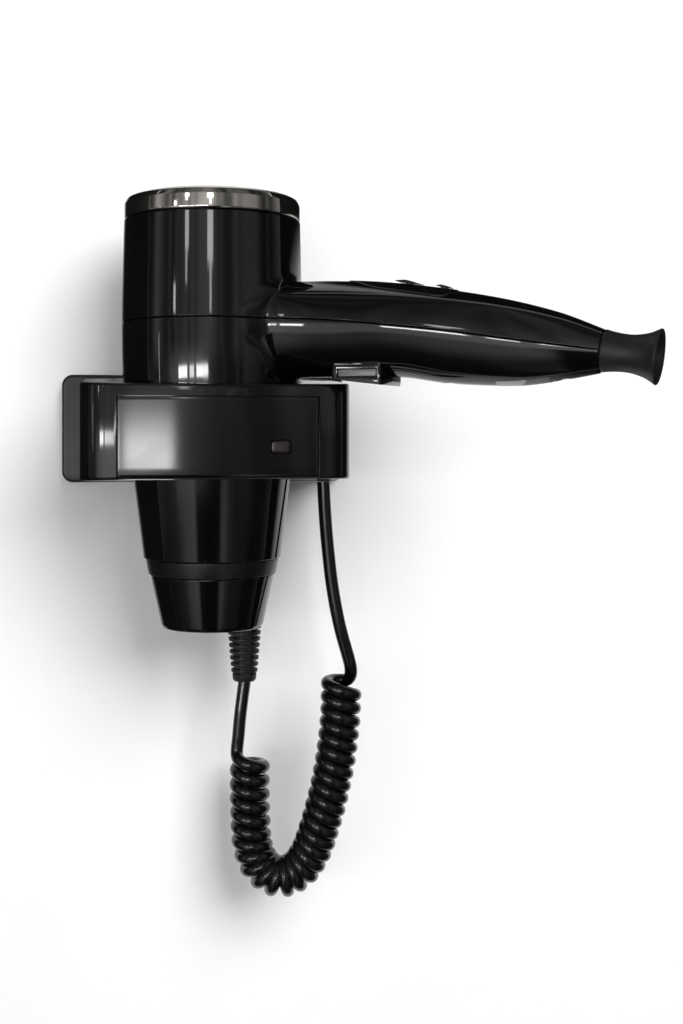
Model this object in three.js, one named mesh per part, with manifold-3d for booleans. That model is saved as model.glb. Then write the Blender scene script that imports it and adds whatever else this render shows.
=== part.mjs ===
// Wall-mounted hair dryer: a ring holder on the wall, and a dryer that stands in the ring with its
// outlet down and its handle to the side. Millimetres, +Z up. The wall is the plane Y = 0 and the
// object stands in front of it at negative Y. The origin is the middle of the holder's back face.
import * as THREE from 'three';
import { mergeVertices } from 'three/addons/utils/BufferGeometryUtils.js';
import Module from 'manifold-3d';

const wasm = await Module();
wasm.setup();

// ---------------------------------------------------------------- driving dimensions
const GAP = 0.3; // between pieces that touch
const WALL = 2.2; // moulded shell thickness
const ROUND_STEPS = 32; // facets round the barrel

const AXIS_TO_WALL = 58; // barrel axis from the wall
const HANDLE_YAW = -31.7; // handle's direction about the barrel axis, degrees from +X

const BARREL_TOP = 93.2;
const BARREL_BOTTOM = -57;
const SEAM_Z = 47.5; // parting line round the barrel
const COLLAR_BOTTOM = -64.2;
const NOZZLE_BOTTOM = -88.2;
const RING_TOP = 103.7;
const RING_RADIUS = 39.2;
const INLET_RADIUS = 33.2;

const HANDLE_START = 22; // inside the barrel
const HANDLE_END = 176; // from the barrel axis
const HANDLE_SQUARENESS = 2.6; // superellipse exponent of the grip's section
const TIP_SLOPE = 7.5; // degrees below level
const TIP_Z = 31.8;

const DUCT_ANGLE = 92; // cord duct's place round the barrel, degrees from the handle
const DUCT_OFFSET = 34.8;
const DUCT_RADIUS = 8.4;
const DUCT_BOTTOM = -75;
const DUCT_BORE = 3.9;
const RELIEF_RADIUS = 9.3; // at its widest rib
const RELIEF_END = -118.7;

const PLATE = { width: 136.4, height: 51.5, depth: 9.5, corner: 5, lift: 0.75 };
const HOLDER = { half: 58, front: 102.5, bow: 5, corner: 14, backTop: 26, backLow: -25, frontTop: 19, frontLow: -20.4 };
const FASCIA = { half: 42.5, top: 14, thick: 1.5 };
const LAMP = { x: 25.9, z: -7.1, width: 8.4, height: 5.8 };

const CORD_RADIUS = 2.8;
const COIL_RADIUS = 9.5;
// Hand-laid route of the cord: down from the holder, the coil's axis, up to the dryer.
const UPPER_LEAD = [[51.7, -50, -23.8], [52.5, -50, -39], [53.9, -50, -55.5], [56, -50, -73],
  [59, -50, -91], [63, -50, -105], [65.9, -50, -111], [66.7, -50, -114.5]];
const COIL_AXIS = [[60.2, -50, -115.5], [59.6, -50, -133], [57.4, -49.5, -152.5], [54, -48.5, -170],
  [50.2, -47, -184.5], [46.4, -44.5, -196.5], [40.8, -41.5, -205.4], [32.8, -38, -209.2],
  [25, -34.8, -205.4], [20.8, -32.2, -196], [19.8, -30.8, -183], [19.6, -30, -168], [19.7, -29.6, -154]];
const LOWER_LEAD = [[14, -29.5, -153.7], [13.9, -29.3, -145], [15, -28.7, -134], [16.7, -28, -125.5],
  [17.3, -27.8, -119]];

// ---------------------------------------------------------------- curves
// A smooth curve of value against position through a few points.
const through = (points) => (at) => {
  const last = points.length - 1;
  const x = Math.min(Math.max(at, points[0][0]), points[last][0]);
  let i = 0;
  while (i < last - 1 && x > points[i + 1][0]) i += 1;
  const slope = (k) => {
    const before = points[Math.max(k - 1, 0)];
    const after = points[Math.min(k + 1, last)];
    return (after[1] - before[1]) / (after[0] - before[0]);
  };
  const [x0, y0] = points[i];
  const [x1, y1] = points[i + 1];
  const span = x1 - x0;
  const t = (x - x0) / span;
  const rise = (2 * t - 3) * t * t;
  return y0 * (1 + rise) - y1 * rise
    + span * (slope(i) * t * (1 - t) ** 2 - slope(i + 1) * t * t * (1 - t));
};
const barrelRadius = through([[-57, 30.7], [-22, 35], [8, 38.7], [26, 40], [50, 40.3], [93.2, 39.4]]);
const handleTop = through([[22, 65.2], [63, 64.3], [92, 61.7], [130, 55.4], [158, 48], [178, 39.9]]);
const handleLow = through([[22, 22.6], [50, 22.8], [90, 22.4], [112, 19.4], [140, 18.2], [158, 19.9], [178, 23.2]]);
const handleHalf = through([[22, 27], [40, 21.6], [54, 19.6], [92, 18.6], [130, 16], [158, 12.4], [178, 8.5]]);
const seamHeight = through([[-60, SEAM_Z], [44, SEAM_Z], [104, 42], [147, 35.8], [178, 31.6], [200, 28.8]]);

const radians = THREE.MathUtils.degToRad;
const steps = (from, to, count) => Array.from({ length: count + 1 }, (_, i) => from + ((to - from) * i) / count);

// ---------------------------------------------------------------- solids
function signedVolume(geometry) {
  const p = geometry.attributes.position;
  const corner = (i) => new THREE.Vector3().fromBufferAttribute(p, geometry.index.getX(i));
  let sum = 0;
  for (let i = 0; i < geometry.index.count; i += 3) sum += corner(i).dot(corner(i + 1).cross(corner(i + 2)));
  return sum / 6;
}

// Merges shared corners, drops empty triangles and turns the faces outwards.
function closed(source) {
  const bare = source.clone();
  bare.deleteAttribute('normal');
  bare.deleteAttribute('uv');
  const merged = mergeVertices(bare, 1e-3);
  const index = merged.index.array;
  const kept = [];
  for (let i = 0; i < index.length; i += 3) {
    const [a, b, c] = index.slice(i, i + 3);
    if (a !== b && b !== c && c !== a) kept.push(a, b, c);
  }
  merged.setIndex(kept);
  if (signedVolume(merged) < 0) merged.setIndex(kept.slice().reverse());
  return merged;
}

function solid(geometry) {
  const shape = closed(geometry);
  const vertProperties = new Float32Array(shape.attributes.position.array);
  const triVerts = new Uint32Array(shape.index.array);
  return new wasm.Manifold(new wasm.Mesh({ numProp: 3, vertProperties, triVerts }));
}

function geometryOf(manifold) {
  const mesh = manifold.getMesh();
  const geometry = new THREE.BufferGeometry();
  geometry.setAttribute('position', new THREE.BufferAttribute(new Float32Array(mesh.vertProperties), 3));
  geometry.setIndex(Array.from(mesh.triVerts));
  return geometry;
}

const join = (first, ...others) => others.reduce((whole, next) => whole.add(next), first);
const cut = (first, ...others) => others.reduce((whole, next) => whole.subtract(next), first);

// A body of revolution about +Z from an [radius, z] outline.
function turned(outline, segments = ROUND_STEPS) {
  const points = outline.map(([r, z]) => new THREE.Vector2(r, z));
  return new THREE.LatheGeometry(points, segments).rotateX(Math.PI / 2);
}
const ringed = (outline, segments) => turned([...outline, outline[0]], segments);
const rod = (radius, low, high, segments = 20) => turned([[0, low], [radius, low], [radius, high], [0, high]], segments);

function block(x0, x1, y0, y1, z0, z1) {
  const box = new THREE.BoxGeometry(x1 - x0, y1 - y0, z1 - z0);
  return box.translate((x0 + x1) / 2, (y0 + y1) / 2, (z0 + z1) / 2);
}

function outlineShape(points) {
  return new THREE.Shape(points.map(([a, b]) => new THREE.Vector2(a, b)));
}

// An outline in X and Z, extruded along Y between two offsets.
function sideProfile(points, y0, y1) {
  const bar = new THREE.ExtrudeGeometry(outlineShape(points), { depth: y1 - y0, bevelEnabled: false });
  return bar.rotateX(Math.PI / 2).translate(0, y1, 0);
}

// An outline in X and Y, extruded along Z.
function plan(shape, z0, z1, curveSegments = 8) {
  const options = { depth: z1 - z0, bevelEnabled: false, curveSegments };
  return new THREE.ExtrudeGeometry(shape, options).translate(0, 0, z0);
}

// A skin over rings of points, closed at both ends.
function loft(rings) {
  const around = rings[0].length;
  const positions = rings.flat().flatMap((p) => [p.x, p.y, p.z]);
  const index = [];
  rings.slice(1).forEach((_, i) => {
    for (let j = 0; j < around; j += 1) {
      const a = i * around + j;
      const b = i * around + ((j + 1) % around);
      index.push(a, b, a + around, b, b + around, a + around);
    }
  });
  for (const [ring, flip] of [[0, true], [rings.length - 1, false]]) {
    const middle = positions.length / 3;
    const centre = rings[ring].reduce((sum, p) => sum.add(p), new THREE.Vector3()).divideScalar(around);
    positions.push(centre.x, centre.y, centre.z);
    for (let j = 0; j < around; j += 1) {
      const a = ring * around + j;
      const b = ring * around + ((j + 1) % around);
      index.push(...(flip ? [middle, b, a] : [middle, a, b]));
    }
  }
  const geometry = new THREE.BufferGeometry();
  geometry.setAttribute('position', new THREE.Float32BufferAttribute(positions, 3));
  geometry.setIndex(index);
  return geometry;
}

function tube(points, radius, count, sides) {
  const route = new THREE.CatmullRomCurve3(points.map((p) => new THREE.Vector3(...p)), false, 'centripetal');
  const section = new THREE.Shape(steps(0, 2 * Math.PI, sides).slice(0, -1)
    .map((a) => new THREE.Vector2(radius * Math.cos(a), radius * Math.sin(a))));
  return new THREE.ExtrudeGeometry(section, { steps: count, extrudePath: route });
}

// ---------------------------------------------------------------- materials
const finish = (color, roughness, metalness = 0) => ({ color, roughness, metalness });
const GLOSS_BLACK = finish(0x0a0a0c, 0.12);
const SATIN_BLACK = finish(0x161618, 0.45);
const SOFT_BLACK = finish(0x1b1b1d, 0.75);
const DARK_CHROME = finish(0x8d8d90, 0.08, 1);
const STEEL = finish(0xb9bbbe, 0.3, 1);
const BRASS = finish(0xb88a3c, 0.35, 1);
const WHITE_PLASTIC = finish(0xe4e2dc, 0.5);
const GREY_PLASTIC = finish(0x9b9c9e, 0.35);
const MICA = finish(0xb49a6a, 0.5);
const LAMP_RED = finish(0x6d1512, 0.2);
const BOARD_GREEN = finish(0x1d5a3a, 0.5);
const LABEL_SILVER = finish(0xc9cacc, 0.4);

const model = new THREE.Group();
const holder = new THREE.Group();
const dryer = new THREE.Group();
dryer.position.set(0, -AXIS_TO_WALL, 0);
dryer.rotation.z = radians(HANDLE_YAW);
model.add(holder, dryer);

function piece(parent, name, shape, look) {
  const geometry = shape.isBufferGeometry ? closed(shape) : geometryOf(shape);
  const mesh = new THREE.Mesh(geometry, new THREE.MeshStandardMaterial(look));
  mesh.name = name;
  parent.add(mesh);
  return mesh;
}

// ---------------------------------------------------------------- dryer shells
function handleSolid(offset) {
  const sides = 24;
  const stations = [HANDLE_START, 34, 44, 54, 70, 92, 110, 126, 140, 152, 162, 170, 178];
  const rings = stations.map((x) => {
    const middle = (handleTop(x) + handleLow(x)) / 2;
    const tall = (handleTop(x) - handleLow(x)) / 2 + offset;
    const wide = handleHalf(x) + offset;
    const power = 2 / HANDLE_SQUARENESS;
    return steps(0, 2 * Math.PI, sides).slice(0, -1).map((a) => {
      const c = Math.cos(a);
      const s = Math.sin(a);
      const y = wide * Math.sign(c) * Math.abs(c) ** power;
      return new THREE.Vector3(x, y, middle + tall * Math.sign(s) * Math.abs(s) ** power);
    });
  });
  return solid(loft(rings));
}

function barrelSolid(inset, low, high) {
  const wallPoints = [BARREL_BOTTOM, -22, 4, 22, 50, BARREL_TOP].map((z) => [barrelRadius(z) - inset, z]);
  const bottom = [wallPoints[0][0], low];
  const top = [wallPoints.at(-1)[0], high];
  const sides = inset > 0 ? [bottom, ...wallPoints, top] : wallPoints;
  return solid(turned([[0, low], ...sides, [0, high]]));
}

// Everything past the handle's tip face, square to the tip's own slope.
function placedAtTip(geometry) {
  return geometry.rotateY(Math.PI / 2 + radians(TIP_SLOPE)).translate(HANDLE_END, 0, TIP_Z);
}

const ductPlace = [DUCT_OFFSET * Math.cos(radians(DUCT_ANGLE)), DUCT_OFFSET * Math.sin(radians(DUCT_ANGLE))];
const borePlace = ductPlace.map((v) => v * 1.025);

function ductSolid() {
  const post = rodAt(ductPlace, [[0, DUCT_BOTTOM], [DUCT_RADIUS, DUCT_BOTTOM], [DUCT_RADIUS, -8], [4.5, 12], [0, 16]]);
  const turningSpace = turned([[0, -95], [23.8, -95], [23.8, -88], [28.4, COLLAR_BOTTOM], [30.6, COLLAR_BOTTOM],
    [30.6, BARREL_BOTTOM - 0.02], [0, BARREL_BOTTOM - 0.02]]);
  return cut(post, solid(turningSpace));
}

function rodAt([x, y], outline, segments = 20) {
  return solid(turned(outline, segments).translate(x, y, 0));
}

function shellSolid() {
  const pastTip = solid(placedAtTip(rod(30, 0, 40)));
  const outer = join(barrelSolid(0, BARREL_BOTTOM, BARREL_TOP), cut(handleSolid(0), pastTip), ductSolid());
  const bore = rodAt(borePlace, [[0, DUCT_BOTTOM - 1], [DUCT_BORE, DUCT_BOTTOM - 1], [DUCT_BORE, -14], [0, -14]]);
  const inner = join(barrelSolid(WALL, BARREL_BOTTOM - 1, BARREL_TOP + 1), handleSolid(-WALL), bore);
  return cut(outer, inner);
}

// Half spaces above and below the parting line, which runs round the barrel and down the handle.
function seamCutter(side) {
  const line = [-60, 44, 74, 104, 126, 147, 165, 200].map((x) => [x, seamHeight(x) + (side * GAP) / 2]);
  return solid(sideProfile([...line, [200, side * 140], [-60, side * 140]], -60, 60));
}

// ---------------------------------------------------------------- thumb panel and sliders
const PANEL = { tip: 66, full: 88, end: 115.5, half: 11.5, proud: 0.4, sunk: 0.7 };
const SLIDERS = {
  speed_slider: { x: 94, slope: 8, travel: 4, length: 9, width: 12, height: 1.0 },
  heat_slider: { x: 109.5, slope: 10, travel: 3, length: 5, width: 9, height: 0.8 },
};
const STEM = { length: 4, width: 3.4, depth: 5 };

function panelPrism(grow) {
  const half = PANEL.half + grow;
  const back = PANEL.end + grow;
  const shape = new THREE.Shape();
  shape.moveTo(PANEL.tip - 2 * grow, 0);
  shape.quadraticCurveTo(PANEL.tip + 8, -half, PANEL.full, -half);
  shape.lineTo(back - 7, -half);
  shape.quadraticCurveTo(back, -half, back, -half + 7);
  shape.lineTo(back, half - 7);
  shape.quadraticCurveTo(back, half, back - 7, half);
  shape.lineTo(PANEL.full, half);
  shape.quadraticCurveTo(PANEL.tip + 8, half, PANEL.tip - 2 * grow, 0);
  return solid(plan(shape, 44, 80, 5));
}

function placedOnTop(geometry, slider) {
  const lift = handleTop(slider.x) + PANEL.proud + GAP;
  return geometry.rotateY(radians(slider.slope)).translate(slider.x, 0, lift);
}

function sliderSlots() {
  return Object.values(SLIDERS).map((slider) => {
    const reach = STEM.length / 2 + slider.travel + 0.5;
    const half = STEM.width / 2 + 0.4;
    return solid(placedOnTop(block(-reach, reach, -half, half, -9, 4), slider));
  });
}

function sliderKnob(slider) {
  const half = slider.length / 2;
  const cap = sideProfile([[-half, 0], [half, 0], [half, 0.4], [0.9, slider.height], [-0.9, slider.height],
    [-half, 0.4]], -slider.width / 2, slider.width / 2);
  const halfStem = STEM.length / 2;
  const stem = block(-halfStem, halfStem, -STEM.width / 2, STEM.width / 2, -STEM.depth, 0.3);
  return join(solid(placedOnTop(cap, slider)), solid(placedOnTop(stem, slider)));
}

// ---------------------------------------------------------------- trigger
const TRIGGER = { start: 62.4, end: 88, half: 12.4, top: 27.5, lowStart: 21.6, lowEnd: 18.9, travel: 2.5 };
const INSERT = { start: 66, end: 83.5, low: 22.7, high: 25.6 };

// The trigger's plan: a tongue with cut corners.
function triggerPrism(grow, z0, z1) {
  const { start, end, half } = TRIGGER;
  const wide = half + grow;
  const narrow = half - 7 + grow / 2;
  const shape = outlineShape([[start - grow, -narrow - 3], [start + 2.6, -wide], [end - 3, -wide], [end + grow, -narrow],
    [end + grow, narrow], [end - 3, wide], [start + 2.6, wide], [start - grow, narrow + 3]]);
  return solid(plan(shape, z0, z1));
}

function triggerBody() {
  const t = TRIGGER;
  const outline = [[t.start - 1, t.top], [t.start - 1, t.lowStart + 2.5], [t.start + 1.6, t.lowStart],
    [t.end - 2.4, t.lowEnd], [t.end + 0.6, t.lowEnd + 2], [t.end + 0.6, t.top]];
  const slot = block(INSERT.start - GAP, INSERT.end + GAP, -20, 20, INSERT.low - GAP, INSERT.high + GAP);
  return cut(solid(sideProfile(outline, -20, 20)).intersect(triggerPrism(0, 10, 40)), solid(slot));
}

// ---------------------------------------------------------------- label on the grip's underside
const LABEL = { start: 129, end: 151, half: 7.5 };
const labelPrism = (grow) => solid(block(LABEL.start - grow, LABEL.end + grow, -LABEL.half - grow, LABEL.half + grow, 5, 28));

const SCREW_PLACES = [112, 160];
const screwHole = (x) => solid(rod(3.2, 8, 32, 14).translate(x, 0, 0));
function housingScrew(x) {
  const face = handleLow(x);
  return turned([[0, face + 0.4], [2.8, face + 0.4], [2.8, face + 1.8], [1.3, face + 1.8], [1.3, face + 10],
    [0, face + 10]], 12).translate(x, 0, 0);
}

function addShells() {
  const shell = shellSolid();
  const thin = handleSolid(-PANEL.sunk - GAP);
  const panelPocket = cut(panelPrism(GAP), thin);
  const labelPocket = cut(labelPrism(GAP), thin);
  const upper = cut(shell.intersect(seamCutter(1)), panelPocket, ...sliderSlots());
  const lower = cut(shell.intersect(seamCutter(-1)), labelPocket, triggerPrism(0.5, 8, 30), ...SCREW_PLACES.map(screwHole));
  piece(dryer, 'rear_housing', upper, GLOSS_BLACK);
  piece(dryer, 'front_housing', lower, GLOSS_BLACK);

  const skin = cut(handleSolid(PANEL.proud), handleSolid(-PANEL.sunk));
  piece(dryer, 'thumb_panel', cut(panelPrism(0).intersect(skin), ...sliderSlots()), SATIN_BLACK);
  const foil = cut(handleSolid(0.1), handleSolid(-0.5));
  piece(dryer, 'rating_label', labelPrism(0).intersect(foil), LABEL_SILVER);
  SCREW_PLACES.forEach((x, i) => piece(dryer, `housing_screw_${i + 1}`, housingScrew(x), STEEL));
}

function addControls() {
  for (const [name, slider] of Object.entries(SLIDERS)) piece(dryer, name, sliderKnob(slider), SATIN_BLACK);
  piece(dryer, 'trigger', triggerBody(), GLOSS_BLACK);
  const i = INSERT;
  piece(dryer, 'trigger_insert', block(i.start, i.end, -TRIGGER.half - 0.1, TRIGGER.half + 0.1, i.low, i.high), GREY_PLASTIC);
  piece(dryer, 'trigger_switch', block(66, 86, -5, 5, TRIGGER.top + TRIGGER.travel + 0.5, 38), SATIN_BLACK);
  piece(dryer, 'switch_board', block(82, 120, -7, 7, 48, 49.6), BOARD_GREEN);
}

// ---------------------------------------------------------------- ends of the barrel and handle
// Flat disc with rings of slots, for the two air grilles.
function grille(radius, low, high, rows) {
  const rim = steps(0, 2 * Math.PI, 36).slice(0, -1);
  const disc = outlineShape(rim.map((a) => [radius * Math.cos(a), radius * Math.sin(a)]));
  for (const { inner, outer, count, bar } of rows) {
    for (let i = 0; i < count; i += 1) {
      const middle = (2 * Math.PI * i) / count;
      const reach = Math.PI / count - bar / (inner + outer);
      const hole = new THREE.Path();
      hole.absarc(0, 0, outer, middle - reach, middle + reach, false);
      hole.absarc(0, 0, inner, middle + reach, middle - reach, true);
      disc.holes.push(hole);
    }
  }
  return plan(disc, low, high, 1);
}

function addEnds() {
  const round = steps(0, Math.PI / 2, 4).map((a) => [RING_RADIUS - 3.4 + 3.4 * Math.cos(a), RING_TOP - 3.4 + 3.4 * Math.sin(a)]);
  const ring = [[RING_RADIUS, BARREL_TOP + GAP], ...round, [INLET_RADIUS + 0.6, RING_TOP - 0.5],
    [INLET_RADIUS, RING_TOP - 1.6], [INLET_RADIUS, BARREL_TOP + GAP]];
  piece(dryer, 'trim_ring', ringed(ring), DARK_CHROME);
  const inletRows = [{ inner: 6, outer: 13, count: 6, bar: 3 }, { inner: 15, outer: 22, count: 10, bar: 3 },
    { inner: 24, outer: 30.5, count: 14, bar: 3 }];
  piece(dryer, 'intake_grille', grille(INLET_RADIUS - GAP, BARREL_TOP + 0.5, 96, inletRows), SATIN_BLACK);
  piece(dryer, 'intake_filter', rod(36.4, 89.5, BARREL_TOP - 0.1, 28), STEEL);

  const collar = [[26, COLLAR_BOTTOM], [28.4, COLLAR_BOTTOM], [29.7, BARREL_BOTTOM - GAP], [28.1, BARREL_BOTTOM - GAP],
    [28.1, -52], [26, -52]];
  piece(dryer, 'outlet_collar', ringed(collar), SATIN_BLACK);
  const outletRows = [{ inner: 4, outer: 12, count: 5, bar: 2.4 }, { inner: 14, outer: 23.5, count: 8, bar: 2.4 }];
  piece(dryer, 'outlet_grille', grille(25.6, -62.8, -60.6, outletRows), STEEL);
  const nozzle = [[25.5, COLLAR_BOTTOM - GAP], [27.6, COLLAR_BOTTOM - GAP], [22.9, NOZZLE_BOTTOM + 1.6],
    [22.2, NOZZLE_BOTTOM + 0.4], [21.4, NOZZLE_BOTTOM], [20.6, NOZZLE_BOTTOM], [20.6, NOZZLE_BOTTOM + 2]];
  piece(dryer, 'nozzle', ringed(nozzle), GLOSS_BLACK);

  const bell = [[6.1, -8], [6.1, GAP], [8.8, GAP], [8.2, 3], [7.65, 8.5], [7.9, 13], [9.2, 18], [11.3, 22],
    [11.3, 22.7], [9.8, 22.7], [7.4, 17], [5.8, 9], [5, 0], [5, -8]];
  piece(dryer, 'bell_end', placedAtTip(ringed(bell, 28)), SOFT_BLACK);
}

function addStrainRelief() {
  const [x, y] = ductPlace;
  const ribs = 13;
  const first = DUCT_BOTTOM - 5;
  const pitch = (first - RELIEF_END) / ribs;
  const outline = [[0, -69], [2.7, -69], [2.7, DUCT_BOTTOM - GAP], [8.3, DUCT_BOTTOM - GAP], [8.3, first]];
  for (let i = 0; i < ribs; i += 1) {
    const radius = RELIEF_RADIUS - 3.5 * ((i + 0.5) / ribs);
    const top = first - i * pitch;
    outline.push([radius - 1.2, top - 0.1], [radius, top - 0.5 * pitch]);
  }
  outline.push([0, RELIEF_END]);
  piece(dryer, 'strain_relief', turned(outline, 12).translate(x, y, 0), SOFT_BLACK);
}

// ---------------------------------------------------------------- air and heat
const ROTOR = { shaft: 1.6, hub: 11, low: 57, high: 70, tip: 34.5, blades: 7 };

function fanSolid() {
  const hub = solid(rod(ROTOR.hub, ROTOR.low, ROTOR.high, 21));
  const blades = steps(0, ROTOR.blades - 1, ROTOR.blades - 1).map((i) => {
    const blade = block(ROTOR.hub - 2, ROTOR.tip, -0.6, 0.6, -7, 7).rotateX(radians(50));
    return solid(blade.translate(0, 0, 63.5).rotateZ((2 * Math.PI * i) / ROTOR.blades));
  });
  return cut(join(hub, ...blades), solid(rod(ROTOR.shaft + GAP, ROTOR.low - 5, ROTOR.high + 5, 12)));
}

function motorMountSolid() {
  const hubRing = solid(ringed([[14.6, 26], [16.4, 26], [16.4, 46], [14.6, 46]], 24));
  const rim = solid(ringed([[35, 30], [36.6, 30], [36.6, 45], [35, 45]], 32));
  const vanes = steps(0, 5, 5).map((i) => solid(block(15.6, 35.8, -0.7, 0.7, 31, 44).rotateZ((Math.PI * i) / 3)));
  return join(hubRing, rim, ...vanes);
}

function addAirAndHeat() {
  piece(dryer, 'fan', fanSolid(), SATIN_BLACK);
  piece(dryer, 'motor_shaft', rod(ROTOR.shaft, 32, 69, 12), STEEL);
  piece(dryer, 'motor', cut(solid(rod(14.2, 16, 50, 24)), solid(rod(ROTOR.shaft + GAP, 31, 60, 12))), STEEL);
  piece(dryer, 'motor_mount', motorMountSolid(), WHITE_PLASTIC);

  const sheet = () => sideProfile([[-20.5, -49], [20.5, -49], [24, 9], [-24, 9]], -0.5, 0.5);
  piece(dryer, 'heater_frame', join(solid(sheet()), solid(sheet().rotateZ(Math.PI / 2))), MICA);
  const turns = 4;
  const wire = steps(0, turns * 12, turns * 12).map((i) => {
    const a = (2 * Math.PI * i) / 12;
    const fall = i / (turns * 12);
    const r = 26.8 - 3.2 * fall;
    return [r * Math.cos(a), r * Math.sin(a), 4 - 46 * fall];
  });
  piece(dryer, 'heater_wire', tube(wire, 0.9, turns * 14, 5), STEEL);
  const sleeve = [-50, 10].flatMap((z) => [[barrelRadius(z) - 5, z], [barrelRadius(z) - 4.2, z]]);
  piece(dryer, 'heater_sleeve', ringed([sleeve[0], sleeve[1], sleeve[3], sleeve[2]], 28), MICA);
  piece(dryer, 'thermal_cutout', block(5, 14, 4, 9, -26, -12), BRASS);
}

// ---------------------------------------------------------------- wall holder
// Plan of the holder's front body: straight sides, round corners and a slightly bowed front.
function holderPlan(inset) {
  const { half, front, bow, corner } = HOLDER;
  const flat = half - corner;
  const bowRadius = (flat * flat + bow * bow) / (2 * bow);
  const points = steps(-flat, flat, 8).map((x) => {
    const fall = bowRadius - Math.sqrt(bowRadius * bowRadius - x * x);
    return [x, -front + fall];
  });
  const turn = (side) => steps(0, Math.PI / 2, 5).slice(1).map((a) => [side * (flat + corner * Math.sin(a)),
    -front + bow + corner * (1 - Math.cos(a))]);
  const outline = [...turn(-1).reverse(), ...points, ...turn(1)].map(([x, y]) => [x, y + inset]);
  const back = -PLATE.depth - GAP;
  return outlineShape([[-half, back], ...outline, [half, back]]);
}

function holderWedge(grow = 0) {
  const h = HOLDER;
  const outline = [[0, h.backTop + grow], [h.front + 5, h.frontTop + grow], [h.front + 5, h.frontLow - grow], [0, h.backLow - grow]];
  return solid(sideProfile(outline, -70, 70).rotateZ(-Math.PI / 2));
}

// The seat follows the barrel's taper; a keyway beside it lets the cord duct through.
function ringHole() {
  const wallPoints = steps(-30, 30, 8).map((z) => [barrelRadius(z) + 0.35, z]);
  const seat = turned([[0, -30], ...wallPoints, [0, 30]]);
  const [x, y] = ductPlace;
  const reach = RELIEF_RADIUS + 0.6;
  const way = rod(reach, -35, 35, 20).translate(x, y, 0);
  const throat = block(x - reach, x + reach, y - 12, y, -35, 35);
  const hole = [seat, way, throat].map((g) => solid(g.rotateZ(radians(HANDLE_YAW)).translate(0, -AXIS_TO_WALL, 0)));
  return join(...hole);
}

const fasciaBand = (inset, grow) => solid(plan(holderPlan(inset), HOLDER.frontLow - 12, FASCIA.top + grow))
  .intersect(solid(block(-FASCIA.half - grow, FASCIA.half + grow, -120, -40, -60, 60)));

function lampBlock(grow, front, back) {
  const w = LAMP.width / 2 + grow;
  const h = LAMP.height / 2 + grow;
  return solid(block(LAMP.x - w, LAMP.x + w, -front, -back, LAMP.z - h, LAMP.z + h));
}

const GLAND = { x: UPPER_LEAD[0][0], y: UPPER_LEAD[0][1], radius: 4.3, low: -23.5 };
const WALL_SCREW = { x: 42, z: 13 };

function wallPlate() {
  const half = PLATE.width / 2 - PLATE.corner;
  const tall = PLATE.height / 2 - PLATE.corner;
  const shape = new THREE.Shape();
  const corners = [[half, tall, 0], [-half, tall, 0.5], [-half, -tall, 1], [half, -tall, 1.5]];
  corners.forEach(([x, y, quarter]) => shape.absarc(x, y, PLATE.corner - 1, quarter * Math.PI, (quarter + 0.5) * Math.PI, false));
  const bevel = { depth: PLATE.depth - 1, bevelThickness: 1, bevelSize: 1, bevelSegments: 2, curveSegments: 5 };
  const slab = new THREE.ExtrudeGeometry(shape, bevel).rotateX(Math.PI / 2).translate(0, 0, PLATE.lift);
  const back = solid(block(-90, 90, 0, 20, -60, 60));
  const holes = [-1, 1].map((side) => solid(rod(2.6, -2, 20, 14).rotateX(Math.PI / 2)
    .translate(side * WALL_SCREW.x, 0, WALL_SCREW.z)));
  return cut(solid(slab), back, ...holes);
}

function addHolder() {
  piece(holder, 'wall_plate', wallPlate(), GLOSS_BLACK);

  const pockets = [-1, 1].map((side) => {
    const [a, b] = side < 0 ? [-54, -30] : [30, 54];
    return solid(block(a, b, -28, 0, -14, 21));
  });
  const shape = solid(plan(holderPlan(0), -40, 40)).intersect(holderWedge());
  const fasciaRecess = cut(fasciaBand(-20, GAP), fasciaBand(FASCIA.thick + GAP, 1));
  const lead = solid(rod(3.4, -40, -15, 14).translate(GLAND.x, GLAND.y, 0));
  const seat = solid(rod(GLAND.radius + GAP, -40, GLAND.low + 5, 16).translate(GLAND.x, GLAND.y, 0));
  const body = cut(shape, ringHole(), ...pockets, fasciaRecess, lampBlock(GAP, 120, 92), lead, seat);
  piece(holder, 'ring_housing', body, GLOSS_BLACK);

  const panel = cut(fasciaBand(0, 0), fasciaBand(FASCIA.thick, 1)).intersect(holderWedge());
  piece(holder, 'fascia_panel', cut(panel, lampBlock(GAP, 120, 92)), GLOSS_BLACK);
  piece(holder, 'pilot_lamp', lampBlock(0, 101.1, 94), LAMP_RED);

  for (const [name, side] of [['left', -1], ['right', 1]]) {
    const screw = turned([[0, 0.5], [2, 0.5], [2, 9.8], [4.2, 9.8], [3.4, 12.2], [0, 12.2]], 14);
    piece(holder, `wall_screw_${name}`, screw.rotateX(Math.PI / 2).translate(side * WALL_SCREW.x, 0, WALL_SCREW.z), STEEL);
  }
  const terminal = block(-53, -31, -24, -PLATE.depth - GAP, -12, 5);
  const wireWays = [-47, -42, -37].map((x) => solid(rod(1.6, -13, 6, 10).translate(x, -18, 0)));
  piece(holder, 'terminal_block', cut(solid(terminal), ...wireWays), WHITE_PLASTIC);

  const gland = rod(GLAND.radius, GLAND.low, GLAND.low + 4.6, 16).translate(GLAND.x, GLAND.y, 0);
  piece(holder, 'cord_gland', gland, SOFT_BLACK);
}

function addCord() {
  piece(holder, 'cord_upper_lead', tube(UPPER_LEAD, CORD_RADIUS, 9, 10), SOFT_BLACK);
  piece(holder, 'cord_coil', tube(COIL_AXIS, COIL_RADIUS, 22, 12), SOFT_BLACK);
  piece(holder, 'cord_lower_lead', tube(LOWER_LEAD, CORD_RADIUS, 4, 10), SOFT_BLACK);
}

addHolder();
addShells();
addControls();
addEnds();
addStrainRelief();
addAirAndHeat();
addCord();

export default model;
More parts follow.
